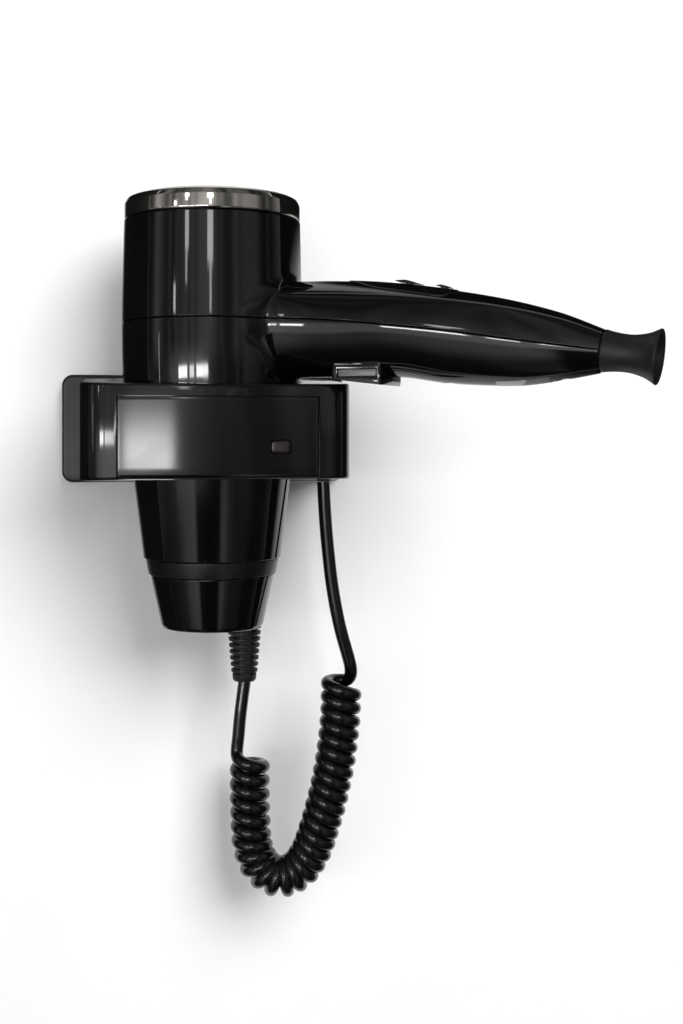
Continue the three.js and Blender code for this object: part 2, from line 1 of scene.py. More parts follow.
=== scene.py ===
"""Wall-mounted hair dryer with its ring holder and coiled cord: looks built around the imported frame."""
import math

import bmesh
import bpy
import numpy as np
from mathutils import Matrix, Vector


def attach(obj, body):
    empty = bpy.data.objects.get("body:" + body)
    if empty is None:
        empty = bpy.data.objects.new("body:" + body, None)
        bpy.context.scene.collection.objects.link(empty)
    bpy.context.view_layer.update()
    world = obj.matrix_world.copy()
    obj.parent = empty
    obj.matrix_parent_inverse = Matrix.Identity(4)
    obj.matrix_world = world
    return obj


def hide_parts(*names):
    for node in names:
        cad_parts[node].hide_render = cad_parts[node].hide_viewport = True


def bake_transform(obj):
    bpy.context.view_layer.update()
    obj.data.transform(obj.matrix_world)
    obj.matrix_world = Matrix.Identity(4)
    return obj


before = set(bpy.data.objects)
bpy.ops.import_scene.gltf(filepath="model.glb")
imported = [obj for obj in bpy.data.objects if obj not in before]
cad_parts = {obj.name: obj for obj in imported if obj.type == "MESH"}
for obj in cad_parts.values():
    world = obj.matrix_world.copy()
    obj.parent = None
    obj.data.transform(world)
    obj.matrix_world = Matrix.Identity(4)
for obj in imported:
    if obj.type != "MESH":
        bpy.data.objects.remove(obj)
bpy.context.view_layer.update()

MM = 0.001
scene = bpy.context.scene

# ------------------------------------------------------------------ camera
def add_camera():
    data = bpy.data.cameras.new("camera")
    data.sensor_width = 36
    data.lens = 47.46
    data.shift_y = -0.080
    data.clip_start = 0.01
    camera = bpy.data.objects.new("camera", data)
    camera.location = (-0.0430, -0.6668, 0)
    camera.rotation_euler = (math.radians(90), 0, math.radians(-9.5))
    scene.collection.objects.link(camera)
    scene.camera = camera


add_camera()

# ------------------------------------------------------------------ mesh making, in millimetres
def mesh_object(name, parts):
    """One object from (points in mm, faces) parts, with its faces turned outwards."""
    points, faces = [], []
    for some_points, some_faces in parts:
        shift = len(points)
        points += [tuple(p) for p in np.asarray(some_points, float) * MM]
        faces += [tuple(i + shift for i in face) for face in some_faces]
    mesh = bpy.data.meshes.new(name)
    mesh.from_pydata(points, [], faces)
    bm = bmesh.new()
    bm.from_mesh(mesh)
    bmesh.ops.recalc_face_normals(bm, faces=bm.faces)
    bm.to_mesh(mesh)
    bm.free()
    obj = bpy.data.objects.new(name, mesh)
    scene.collection.objects.link(obj)
    return obj


def bake_modifiers(obj):
    bpy.context.view_layer.update()
    shown = obj.evaluated_get(bpy.context.evaluated_depsgraph_get())
    old = obj.data
    obj.data = bpy.data.meshes.new_from_object(shown)
    obj.data.name = obj.name
    obj.modifiers.clear()
    bpy.data.meshes.remove(old)
    return obj


def carve(obj, *tools, operation="DIFFERENCE"):
    """Takes tools, each a list of closed parts, out of obj one after another, or joins them to it."""
    for parts in tools:
        tool = mesh_object("tool", parts)
        modifier = obj.modifiers.new("carve", "BOOLEAN")
        modifier.solver = "MANIFOLD"
        modifier.operation = operation
        modifier.object = tool
        bake_modifiers(obj)
        bpy.data.objects.remove(tool)
    return obj


def soft_edges(obj, width, segments=3, angle=30):
    modifier = obj.modifiers.new("soft_edges", "BEVEL")
    modifier.width = width * MM
    modifier.segments = segments
    modifier.limit_method = "ANGLE"
    modifier.angle_limit = math.radians(angle)
    return bake_modifiers(obj)


def painted(obj, finish, angle):
    """Smooth shading with sharp edges kept, and one material."""
    obj.data.materials.clear()
    obj.data.materials.append(finish)
    obj.data.shade_smooth()
    obj.data.set_sharp_from_angle(angle=math.radians(angle))


def finished(obj, finish, body, stands_for, angle=38):
    """Shading, material, body and the frame nodes this piece stands for."""
    painted(obj, finish, angle)
    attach(obj, body)
    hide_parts(*stands_for)


def lathe(outline, segments=120, closed=False):
    """Points and faces of a body of revolution about Z from an outline of (radius, height)."""
    points, rows = [], []
    for radius, height in outline:
        if radius < 1e-6:
            rows.append([len(points)])
            points.append((0, 0, height))
            continue
        rows.append(list(range(len(points), len(points) + segments)))
        for k in range(segments):
            turn = 2 * math.pi * k / segments
            points.append((radius * math.cos(turn), radius * math.sin(turn), height))
    faces = []
    pairs = list(zip(rows, rows[1:])) + ([(rows[-1], rows[0])] if closed else [])
    for low, high in pairs:
        if len(low) == len(high) == 1:
            continue
        for k in range(segments):
            n = (k + 1) % segments
            if len(low) == 1:
                faces.append((low[0], high[n], high[k]))
            elif len(high) == 1:
                faces.append((low[k], low[n], high[0]))
            else:
                faces.append((low[k], low[n], high[n], high[k]))
    return np.array(points, float), faces


def stack(rings):
    """Points and faces of a skin over rings with the same count, capped at both ends."""
    count = len(rings[0])
    points = np.concatenate([np.asarray(r, float) for r in rings])
    faces = []
    for a in range(0, len(points) - count, count):
        for k in range(count):
            n = (k + 1) % count
            faces.append((a + k, a + n, a + count + n, a + count + k))
    faces.append(tuple(range(count))[::-1])
    faces.append(tuple(range(len(points) - count, len(points))))
    return points, faces


def softened(points, radius, steps=5, closed=False):
    """A polyline with its corners rounded."""
    p = [np.array(q, float) for q in points]
    out = []
    for i, corner in enumerate(p):
        if not closed and i in (0, len(p) - 1):
            out.append(corner)
            continue
        before, after = p[i - 1], p[(i + 1) % len(p)]
        to_before, to_after = before - corner, after - corner
        len_a, len_b = np.linalg.norm(to_before), np.linalg.norm(to_after)
        u, v = to_before / len_a, to_after / len_b
        half = 0.5 * math.acos(max(-1.0, min(1.0, float(u @ v))))
        reach = min(radius / max(math.tan(half), 1e-6), 0.48 * len_a, 0.48 * len_b)
        for t in np.linspace(0, 1, steps + 1):
            out.append(corner + u * reach * (1 - t) ** 2 + v * reach * t * t)
    return out


def plan(outline, z0, z1):
    """An outline in X and Y, given height along Z."""
    return stack([[(x, y, z) for x, y in outline] for z in (z0, z1)])


def block(x0, x1, y0, y1, z0, z1):
    return plan([(x0, y0), (x1, y0), (x1, y1), (x0, y1)], z0, z1)


def profile(outline, y0, y1):
    """An outline in X and Z, given depth along Y."""
    return stack([[(x, y, z) for x, z in outline] for y in (y0, y1)])


def moved(part, shift=(0, 0, 0), turn_z=0.0, tip_y=0.0):
    points, faces = part
    turn = Matrix.Rotation(math.radians(turn_z), 3, "Z") @ Matrix.Rotation(math.radians(tip_y), 3, "Y")
    return np.asarray(points) @ np.array(turn).T + np.array(shift, float), faces


def through(knots):
    """A smooth curve of value against position through a few knots."""
    xs, ys = np.array(knots, float).T
    reach_low = np.maximum(np.arange(len(xs)) - 1, 0)
    reach_high = np.minimum(np.arange(len(xs)) + 1, len(xs) - 1)
    slopes = (ys[reach_high] - ys[reach_low]) / (xs[reach_high] - xs[reach_low])

    def at(x):
        x = np.clip(x, xs[0], xs[-1])
        i = np.clip(np.searchsorted(xs, x, side="right") - 1, 0, len(xs) - 2)
        span = xs[i + 1] - xs[i]
        t = (x - xs[i]) / span
        rise = (2 * t - 3) * t * t
        bend = slopes[i] * t * (1 - t) ** 2 - slopes[i + 1] * t * t * (1 - t)
        return ys[i] * (1 + rise) - ys[i + 1] * rise + span * bend

    return at


def flowing(knots, count=10):
    """Points along a smooth line through the given ones."""
    p = np.array(knots, float)
    p = np.vstack([2 * p[0] - p[1], p, 2 * p[-1] - p[-2]])
    out = []
    for i in range(1, len(p) - 2):
        t = np.cumsum([0] + [np.linalg.norm(p[i + k] - p[i + k - 1]) ** 0.5 for k in range(3)])
        for u in np.linspace(t[1], t[2], count, endpoint=False):
            def mix(a, b, k, wide):
                share = (u - t[k]) / (t[k + wide] - t[k])
                return a * (1 - share) + b * share

            first = [mix(p[i - 1 + k], p[i + k], k, 1) for k in range(3)]
            second = [mix(first[k], first[k + 1], k, 2) for k in range(2)]
            out.append(mix(second[0], second[1], 1, 1))
    return np.array(out + [p[-2]])


def lengths(line):
    return np.concatenate([[0], np.cumsum(np.linalg.norm(np.diff(line, axis=0), axis=1))])


def evenly(line, step):
    """The same line with points about a step apart."""
    along = lengths(line)
    at = np.linspace(0, along[-1], max(2, int(math.ceil(along[-1] / step)) + 1))
    return np.stack([np.interp(at, along, line[:, k]) for k in range(3)], axis=1)


def directions(line):
    d = np.gradient(line, axis=0)
    return d / np.linalg.norm(d, axis=1)[:, None]


def carried_side(line, first):
    """A sideways direction carried along the line without twist."""
    ahead = directions(line)
    sides, side = [], np.array(first, float)
    for t in ahead:
        side = side - (side @ t) * t
        side = side / np.linalg.norm(side)
        sides.append(side)
    return np.array(sides)


def tube(line, radius, sides):
    """A round tube along a line."""
    side = carried_side(line, (0.3, 1, 0.2))
    other = np.cross(directions(line), side)
    turns = [2 * math.pi * k / sides for k in range(sides)]
    rings = [[line[i] + radius * (side[i] * math.cos(a) + other[i] * math.sin(a)) for a in turns]
             for i in range(len(line))]
    return stack(rings)


# ------------------------------------------------------------------ cord route
UPPER_LEAD = [(51.7, -50, -23.8), (52.5, -50, -39), (53.9, -50, -55.5), (56, -50, -73),
              (59.2, -50, -90), (62.8, -49.6, -103), (64.9, -49.2, -110)]
COIL_AXIS = [(60.2, -50, -115.5), (59.6, -50, -133), (57.4, -49.5, -152.5), (54, -48.5, -170),
             (50.2, -47, -184.5), (46.4, -44.5, -196.5), (40.8, -41.5, -205.4), (32.8, -38, -209.2),
             (25, -34.8, -205.4), (20.8, -32.2, -196), (19.8, -30.8, -183), (19.6, -30, -168),
             (19.7, -29.6, -154)]
LOWER_LEAD = [(14.1, -29.6, -147), (14.9, -29.2, -137), (16.2, -28.4, -127), (17.3, -27.8, -119)]
CORD_RADIUS = 3.0
TURN_RADIUS = 6.6
TURNS = 29
POINTS_A_TURN = 26
TURN_LEAN = 1.1
JOINT_POINTS = 3
CORD_SIDES = 16
LEAD_STEP = 1.6


def coil_line():
    """The cord's own line in the coil: turns close on the long leg, wider on the short one."""
    axis = evenly(flowing(COIL_AXIS), 0.5)
    along = lengths(axis)
    side = carried_side(axis, (1, 0, 0))
    other = np.cross(side, directions(axis))
    spacing = through([(0, 6.0), (55, 5.6), (88, 5.1), (112, 5.1), (135, 6.2), (190, 6.7)])
    density = 1 / spacing(along)
    turned = np.concatenate([[0], np.cumsum(0.5 * (density[1:] + density[:-1]) * np.diff(along))])
    turned *= TURNS / turned[-1]
    at = np.linspace(0, TURNS, TURNS * POINTS_A_TURN + 1)
    where = np.interp(at, turned, along)

    def pick(table):
        return np.stack([np.interp(where, along, table[:, k]) for k in range(3)], axis=1)

    angle = 2 * math.pi * at[:, None]
    turns = TURN_RADIUS * (pick(side) * np.cos(angle) + pick(other) * np.sin(angle))
    return pick(axis) + turns + TURN_LEAN * np.cos(angle) * pick(directions(axis))


def cord_line():
    """Both leads run straight into the side of the coil."""
    coil = coil_line()[JOINT_POINTS:-JOINT_POINTS]
    upper = evenly(flowing(UPPER_LEAD), LEAD_STEP)
    lower = evenly(flowing(LOWER_LEAD), LEAD_STEP)
    into = flowing([upper[-3], upper[-1], coil[0], coil[4]], 8)[8:17]
    out_of = flowing([coil[-5], coil[-1], lower[0], lower[2]], 8)[8:17]
    line = evenly(np.vstack([upper[:-1], into, coil[1:-1], out_of, lower[1:]]), LEAD_STEP)
    along = lengths(line)
    joints = [lengths(upper)[-1] + 3, along[-1] - lengths(lower)[-1] - 3]
    near = np.exp(-(np.min([abs(along - j) for j in joints], axis=0) / 8) ** 2)
    for _ in range(10):
        middle = 0.5 * (line[:-2] + line[2:])
        line[1:-1] += 0.6 * near[1:-1, None] * (middle - line[1:-1])
    return line


# ------------------------------------------------------------------ surface effects shared by the finishes
def node(tree, kind, feeds=None, **settings):
    made = tree.nodes.new("ShaderNode" + kind)
    for key, value in settings.items():
        setattr(made, key, value)
    for key, value in (feeds or {}).items():
        if isinstance(value, bpy.types.NodeSocket):
            tree.links.new(value, made.inputs[key])
        else:
            made.inputs[key].default_value = value
    return made


def effect(name, inputs, outputs):
    """An empty node group with named inputs {name: default} and float outputs."""
    tree = bpy.data.node_groups.new(name, "ShaderNodeTree")
    for label, value in inputs.items():
        tree.interface.new_socket(label, in_out="INPUT", socket_type="NodeSocketFloat").default_value = value
    for label in outputs:
        tree.interface.new_socket(label, in_out="OUTPUT", socket_type="NodeSocketFloat")
    return tree, tree.nodes.new("NodeGroupInput").outputs, tree.nodes.new("NodeGroupOutput").inputs


def math_node(tree, operation, a, b=0.0, clamp=False):
    return node(tree, "Math", {0: a, 1: b}, operation=operation, use_clamp=clamp).outputs[0]


def times(tree, a, b, clamp=False):
    return math_node(tree, "MULTIPLY", a, b, clamp)


def plus(tree, a, b, clamp=False):
    return math_node(tree, "ADD", a, b, clamp)


def noise(tree, vector, scale, detail=3.0, roughness=0.55, distortion=0.0):
    feeds = {"Vector": vector, "Scale": scale, "Detail": detail, "Roughness": roughness,
             "Distortion": distortion}
    return node(tree, "TexNoise", feeds).outputs["Fac"]


def remap(tree, value, low, high, to_low=0.0, to_high=1.0):
    feeds = {"Value": value, "From Min": low, "From Max": high, "To Min": to_low, "To Max": to_high}
    return node(tree, "MapRange", feeds, interpolation_type="SMOOTHSTEP").outputs["Result"]


def stripes(tree, along, pitch):
    """A wave from -1 to 1 that repeats every pitch millimetres."""
    return math_node(tree, "SINE", times(tree, along, 2 * math.pi / (pitch * MM)))


def place(tree):
    return node(tree, "TexCoord").outputs["Object"]


def make_moulded_skin():
    """Slow waviness and fine grain of a moulded surface, as one height."""
    tree, given, out = effect("moulded_skin", {"Wave Scale": 120, "Grain Scale": 2600, "Grain Share": 0.3},
                              ["Height"])
    at = place(tree)
    wave = noise(tree, at, given["Wave Scale"], 1.5)
    grain = noise(tree, at, given["Grain Scale"], 2.0)
    fine = times(tree, grain, given["Grain Share"])
    tree.links.new(plus(tree, wave, fine), out["Height"])
    return tree


def make_rubbed_edges():
    """Where edges stand proud and have been rubbed."""
    tree, given, out = effect("rubbed_edges", {"Sharpness": 0.54, "Breakup": 300}, ["Mask"])
    proud = node(tree, "NewGeometry").outputs["Pointiness"]
    top = plus(tree, given["Sharpness"], 0.06)
    edge = node(tree, "MapRange", {"Value": proud, "From Min": given["Sharpness"], "From Max": top})
    patchy = remap(tree, noise(tree, place(tree), given["Breakup"], 4.0), 0.35, 0.7)
    tree.links.new(times(tree, edge.outputs["Result"], patchy, True), out["Mask"])
    return tree


def make_settled_dust():
    """Fine dust on faces that look upwards."""
    tree, given, out = effect("settled_dust", {"Amount": 0.5, "Scale": 900}, ["Mask"])
    up = node(tree, "SeparateXYZ", {0: node(tree, "NewGeometry").outputs["Normal"]}).outputs["Z"]
    flat = remap(tree, up, 0.55, 1.0)
    specks = remap(tree, noise(tree, place(tree), given["Scale"], 5.0, 0.7), 0.48, 0.78)
    drift = remap(tree, noise(tree, place(tree), 45, 2.0), 0.3, 0.75, 0.25, 1.0)
    lying = times(tree, times(tree, flat, specks), drift)
    tree.links.new(times(tree, lying, given["Amount"], True), out["Mask"])
    return tree


def make_handling_marks():
    """Smears from hands and fine wiping scratches."""
    tree, given, out = effect("handling_marks", {"Smears": 0.5, "Scratches": 0.4, "Scale": 38}, ["Mask"])
    at = place(tree)
    smear = remap(tree, noise(tree, at, given["Scale"], 3.0, 0.6, 0.8), 0.45, 0.72)
    stretched = node(tree, "Mapping", {"Vector": at, "Scale": (1.0, 1.0, 0.06), "Rotation": (0.5, 0.3, 0.2)})
    hair = remap(tree, noise(tree, stretched.outputs[0], 1500, 1.0), 0.62, 0.68)
    both = plus(tree, times(tree, smear, given["Smears"]), times(tree, hair, given["Scratches"]), True)
    tree.links.new(both, out["Mask"])
    return tree


MOULDED_SKIN = make_moulded_skin()
RUBBED_EDGES = make_rubbed_edges()
SETTLED_DUST = make_settled_dust()
HANDLING_MARKS = make_handling_marks()


# ------------------------------------------------------------------ finishes
def use(tree, group, **values):
    made = tree.nodes.new("ShaderNodeGroup")
    made.node_tree = group
    for key, value in values.items():
        made.inputs[key.replace("_", " ")].default_value = value
    return made.outputs[0]


def blank(name, **constant):
    """A material with its shader and the values that are the same all over it."""
    made = bpy.data.materials.new(name)
    made.use_nodes = True
    tree = made.node_tree
    shader = tree.nodes["Principled BSDF"]
    for key, value in constant.items():
        shader.inputs[key.replace("_", " ")].default_value = value
    return made, tree, shader


def colour_mix(tree, share, a, b):
    made = node(tree, "Mix", data_type="RGBA")
    for socket, value in ((made.inputs[0], share), (made.inputs[6], a), (made.inputs[7], b)):
        if isinstance(value, bpy.types.NodeSocket):
            tree.links.new(value, socket)
        else:
            socket.default_value = value if isinstance(value, float) else (*value, 1.0)
    return made.outputs[2]


def feed(tree, shader, **sockets):
    for key, value in sockets.items():
        tree.links.new(value, shader.inputs[key.replace("_", " ")])


def relief(tree, shader, height, depth):
    """Bump from a height of 0 to 1 that is depth millimetres deep."""
    made = node(tree, "Bump", {"Height": height, "Distance": depth * MM, "Strength": 1.0})
    tree.links.new(made.outputs[0], shader.inputs["Normal"])


DUST = (0.30, 0.29, 0.27)


def plastic(name, colour, rubbed, roughness, wave, grain, share, depth, dust, smears, gain, sharpness=0.54):
    """Moulded plastic or rubber: skin, hand marks, rubbed edges and a little dust."""
    made, tree, shader = blank(name)
    marks = use(tree, HANDLING_MARKS, Smears=smears, Scratches=0.5 * smears, Scale=38)
    edges = use(tree, RUBBED_EDGES, Sharpness=sharpness, Breakup=300)
    settled = use(tree, SETTLED_DUST, Amount=dust, Scale=900)
    tone = remap(tree, noise(tree, place(tree), 60, 3.0), 0.3, 0.7)
    body = colour_mix(tree, tone, tuple(0.85 * c for c in colour), tuple(1.15 * c for c in colour))
    body = colour_mix(tree, edges, body, rubbed)
    body = colour_mix(tree, times(tree, settled, 0.4), body, DUST)
    rough = plus(tree, times(tree, marks, gain), roughness)
    rough = plus(tree, rough, times(tree, settled, 0.35), True)
    feed(tree, shader, Base_Color=body, Roughness=rough)
    skin = use(tree, MOULDED_SKIN, Wave_Scale=wave, Grain_Scale=grain, Grain_Share=share)
    relief(tree, shader, skin, depth)
    return made


def gloss(name, colour, roughness, **marks):
    """Polished black moulding."""
    return plastic(name, colour, (0.02, 0.02, 0.021), roughness, grain=2400, share=0.05, depth=0.006,
                   sharpness=0.56, **marks)


def metal(name, colour, roughness, depth=0.002, tarnish=0.3):
    """Turned or polished metal with fine streaks and a little tarnish."""
    made, tree, shader = blank(name, Metallic=1.0)
    at = place(tree)
    drawn = node(tree, "Mapping", {"Vector": at, "Scale": (1.0, 1.0, 0.05)})
    lines = noise(tree, drawn.outputs[0], 900, 2.0)
    cloud = remap(tree, noise(tree, at, 70, 4.0), 0.35, 0.75)
    marks = use(tree, HANDLING_MARKS, Smears=0.6, Scratches=0.4, Scale=60)
    dull = times(tree, cloud, tarnish)
    body = colour_mix(tree, dull, colour, tuple(0.55 * c for c in colour))
    rough = plus(tree, times(tree, marks, 0.12), roughness)
    rough = plus(tree, rough, times(tree, lines, 0.5 * roughness), True)
    feed(tree, shader, Base_Color=body, Roughness=rough)
    relief(tree, shader, lines, depth)
    return made


def woven_screen():
    """A fine woven screen, for the intake filter."""
    made, tree, shader = blank("filter_screen", Metallic=0.6)
    colour = (0.15, 0.15, 0.155)
    at = place(tree)
    xyz = node(tree, "SeparateXYZ", {0: at})
    strands = [remap(tree, stripes(tree, xyz.outputs[axis], 0.9), -0.3, 0.8) for axis in ("X", "Y")]
    lattice = math_node(tree, "MAXIMUM", *strands)
    lint = remap(tree, noise(tree, at, 140, 4.0), 0.5, 0.75)
    body = colour_mix(tree, lattice, tuple(0.12 * c for c in colour), colour)
    body = colour_mix(tree, times(tree, lint, 0.3), body, DUST)
    rough = plus(tree, times(tree, lint, 0.3), 0.4, True)
    feed(tree, shader, Base_Color=body, Roughness=rough)
    relief(tree, shader, lattice, 0.25)
    return made


def lamp_lens():
    """Dark red moulded lens with a fluted inside."""
    made, tree, shader = blank("lamp_lens", Transmission_Weight=0.1, IOR=1.46, Coat_Weight=0.1,
                               Coat_Roughness=0.2)
    xyz = node(tree, "SeparateXYZ", {0: place(tree)})
    flutes = remap(tree, stripes(tree, xyz.outputs["X"], 0.7), -1, 1)
    cloud = remap(tree, noise(tree, place(tree), 300, 3.0), 0.3, 0.7)
    body = colour_mix(tree, flutes, (0.007, 0.0025, 0.0025), (0.018, 0.006, 0.0055))
    rough = plus(tree, times(tree, cloud, 0.1), 0.28)
    feed(tree, shader, Base_Color=body, Roughness=rough)
    relief(tree, shader, flutes, 0.03)
    return made


def foil_label():
    """Plain printed foil: a pale panel beside a darker one, with blank ruled rows."""
    made, tree, shader = blank("foil_label", Metallic=0.35)
    at = place(tree)
    xyz = node(tree, "SeparateXYZ", {0: at})
    side = remap(tree, xyz.outputs["X"], 0.1208, 0.1212)
    rows = stripes(tree, xyz.outputs["Y"], 2.1)
    ruled = times(tree, remap(tree, rows, 0.90, 0.98), 0.35)
    fibre = remap(tree, noise(tree, at, 1800, 3.0), 0.3, 0.7)
    pale = colour_mix(tree, ruled, (0.42, 0.42, 0.43), (0.16, 0.16, 0.17))
    body = colour_mix(tree, side, pale, (0.11, 0.11, 0.12))
    body = colour_mix(tree, times(tree, fibre, 0.15), body, (0.5, 0.5, 0.5))
    rough = plus(tree, times(tree, fibre, 0.12), 0.3)
    feed(tree, shader, Base_Color=body, Roughness=rough)
    relief(tree, shader, fibre, 0.004)
    return made


def board_green():
    """Circuit board: green mask with lighter tracks and tinned spots."""
    made, tree, shader = blank("circuit_board")
    at = place(tree)
    cells = node(tree, "TexVoronoi", {"Vector": at, "Scale": 260.0}, feature="DISTANCE_TO_EDGE")
    track = remap(tree, cells.outputs["Distance"], 0.06, 0.03)
    dots = node(tree, "TexVoronoi", {"Vector": at, "Scale": 420.0})
    tinned = remap(tree, dots.outputs["Distance"], 0.24, 0.2)
    body = colour_mix(tree, track, (0.012, 0.11, 0.045), (0.03, 0.22, 0.09))
    body = colour_mix(tree, tinned, body, (0.55, 0.55, 0.52))
    feed(tree, shader, Base_Color=body, Metallic=tinned, Roughness=remap(tree, track, 0, 1, 0.45, 0.3))
    relief(tree, shader, track, 0.04)
    return made


GLOSS = gloss("gloss_black_shell", (0.0028, 0.0028, 0.0034), 0.05, wave=95, dust=0.22, smears=0.45, gain=0.06)
GLOSS_HOLDER = gloss("gloss_black_holder", (0.0036, 0.0036, 0.0045), 0.07, wave=70, dust=0.3, smears=0.5,
                     gain=0.07)
FASCIA_GLOSS = gloss("gloss_black_fascia", (0.0034, 0.0034, 0.0045), 0.125, wave=60, dust=0.2, smears=0.25,
                     gain=0.05)
PLATE_SATIN = plastic("satin_black_plate", (0.013, 0.013, 0.0145), (0.03, 0.03, 0.031), 0.38, wave=90,
                      grain=2600, share=0.9, depth=0.012, dust=0.35, smears=0.4, gain=0.1)
SATIN = plastic("satin_black_plate", (0.013, 0.013, 0.0145), (0.03, 0.03, 0.031), 0.38, wave=90, grain=2600,
                      share=0.9, depth=0.012, dust=0.35, smears=0.4, gain=0.1)
SATIN = plastic("satin_black_plastic", (0.0065, 0.0065, 0.0075), (0.03, 0.03, 0.031), 0.30, wave=140,
                grain=2600, share=1.2, depth=0.016, dust=0.3, smears=0.4, gain=0.12)
RUBBER = plastic("soft_black_rubber", (0.0095, 0.0095, 0.0105), (0.035, 0.035, 0.035), 0.50, wave=160,
                 grain=2200, share=1.4, depth=0.022, dust=0.35, smears=0.5, gain=0.12)
CORD = plastic("cord_black_pvc", (0.0055, 0.0055, 0.0065), (0.02, 0.02, 0.02), 0.10, wave=210, grain=1800,
               share=0.4, depth=0.012, dust=0.25, smears=0.6, gain=0.14)
GREY = plastic("grey_insert_plastic", (0.25, 0.25, 0.26), (0.5, 0.5, 0.5), 0.28, wave=120, grain=2200,
               share=0.8, depth=0.01, dust=0.1, smears=0.5, gain=0.15)
WHITE = plastic("white_heatproof_plastic", (0.70, 0.68, 0.62), (0.8, 0.78, 0.72), 0.45, wave=120, grain=2000,
                share=1.0, depth=0.02, dust=0.5, smears=0.4, gain=0.1)
MICA = plastic("mica_sheet", (0.42, 0.30, 0.16), (0.6, 0.48, 0.3), 0.42, wave=400, grain=1500, share=1.0,
               depth=0.03, dust=0.4, smears=0.6, gain=0.2)
CHROME = metal("dark_polished_chrome", (0.43, 0.41, 0.375), 0.045, depth=0.0006, tarnish=0.25)
STEEL = metal("bright_steel", (0.60, 0.60, 0.61), 0.22, depth=0.002)
COIL_WIRE = metal("heater_wire_alloy", (0.36, 0.31, 0.27), 0.35, depth=0.004, tarnish=0.7)
BRASS = metal("brass", (0.72, 0.50, 0.20), 0.26, depth=0.002)
SCREEN = woven_screen()
LENS = lamp_lens()
FOIL = foil_label()
BOARD = board_green()

# ------------------------------------------------------------------ sizes of the dryer and its holder, mm
AXIS_TO_WALL = 58
HANDLE_YAW = -31.7
BARREL_TOP, BARREL_BOTTOM = 93.2, -57
COLLAR_BOTTOM, NOZZLE_BOTTOM = -64.2, -88.2
RING_TOP, RING_RADIUS, INLET_RADIUS = 103.7, 39.2, 33.2
GAP = 0.3
WALL = 2.2
TIP_AT = np.array((176.0, 0, 31.8))
TIP_SLOPE = 7.5
TIP_AHEAD = np.array((math.cos(math.radians(TIP_SLOPE)), 0, -math.sin(math.radians(TIP_SLOPE))))
DUCT_ANGLE, DUCT_OFFSET, DUCT_RADIUS, DUCT_BOTTOM = 92, 34.8, 8.4, -75
DUCT_AT = DUCT_OFFSET * np.array((math.cos(math.radians(DUCT_ANGLE)), math.sin(math.radians(DUCT_ANGLE))))
DUCT_BULGE_TOP = 16
SEAM_Z = 47.5

barrel_radius = through([(-57, 30.7), (-22, 35), (8, 38.7), (26, 40), (50, 40.3), (93.2, 39.4)])
handle_top = through([(22, 65.2), (63, 64.3), (92, 61.7), (130, 55.4), (158, 48), (178, 39.9)])
handle_low = through([(22, 22.6), (50, 22.8), (90, 22.4), (112, 19.4), (140, 18.2), (158, 19.9), (178, 23.2)])
handle_half = through([(22, 26.5), (31, 24.6), (39, 21.3), (50, 19.6), (64, 19), (92, 18.6), (130, 16),
                       (158, 12.4), (178, 8.5)])
GRIP_ROUNDNESS = 2.1
upper_roundness = through([(40, 2.15), (75, 2.0), (178, 2.0)])
lower_roundness = through([(40, 2.15), (64, 2.05), (84, 1.8), (178, 1.8)])
seam_height = through([(-60, SEAM_Z), (44, SEAM_Z), (104, 42), (147, 35.8), (178, 31.6), (200, 28.8)])


def in_place(part):
    """From the dryer's own axes, handle along X, to the frame."""
    return moved(part, (0, -AXIS_TO_WALL, 0), HANDLE_YAW)


def to_dryer(points):
    back = Matrix.Rotation(math.radians(-HANDLE_YAW), 3, "Z")
    return (np.asarray(points) + np.array((0, AXIS_TO_WALL, 0))) @ np.array(back).T


def at_tip(part):
    return moved(part, TIP_AT, 0, 90 + TIP_SLOPE)


# ------------------------------------------------------------------ the dryer's moulded form
def blended(a, b, reach):
    share = np.clip(0.5 + 0.5 * (b - a) / reach, 0, 1)
    return b * (1 - share) + a * share - reach * share * (1 - share)


ROOT_BLEND = 4.0
DUCT_BLEND = 4.0
CONE_SLOPE = 2.5


def barrel_form_radius(z):
    return barrel_radius(z) - CONE_SLOPE * np.maximum(0, BARREL_BOTTOM - z)


def duct_form_radius(z):
    return np.interp(z, [-8, 12, DUCT_BULGE_TOP], [DUCT_RADIUS, 4.5, 0.5])


def dryer_form(p):
    """Below zero inside the dryer's outer surface; near the surface, a distance in mm."""
    x, y, z = p[:, 0], p[:, 1], p[:, 2]
    barrel = np.hypot(x, y) - barrel_form_radius(z)
    seam = seam_height(x)
    up = z - seam
    tall = np.where(up > 0, handle_top(x) - seam, seam - handle_low(x))
    power = np.where(up > 0, upper_roundness(x), lower_roundness(x))
    reach = np.abs(y / handle_half(x)) ** GRIP_ROUNDNESS + np.abs(up / tall) ** power
    reach = reach ** (1 / GRIP_ROUNDNESS)
    handle = np.hypot(y, up) * (1 - 1 / np.maximum(reach, 1e-3))
    handle = np.maximum(handle, -x)
    duct = np.hypot(x - DUCT_AT[0], y - DUCT_AT[1]) - duct_form_radius(z)
    duct = np.maximum(duct, z - DUCT_BULGE_TOP)
    return blended(blended(barrel, handle, ROOT_BLEND), duct, DUCT_BLEND)


def slope_of(form, p, step=0.04):
    out = np.empty_like(p)
    for k in range(3):
        d = np.zeros(3)
        d[k] = step
        out[:, k] = (form(p + d) - form(p - d)) / (2 * step)
    return out


def settled(form, p, rounds=4, most=1.5):
    for _ in range(rounds):
        g = slope_of(form, p)
        move = -(form(p) / np.maximum((g * g).sum(1), 0.05))[:, None] * g
        size = np.linalg.norm(move, axis=1)[:, None]
        p = p + move * np.minimum(1, most / np.maximum(size, 1e-9))
    return p


def unit(v):
    return v / np.maximum(np.linalg.norm(v, axis=1), 1e-9)[:, None]


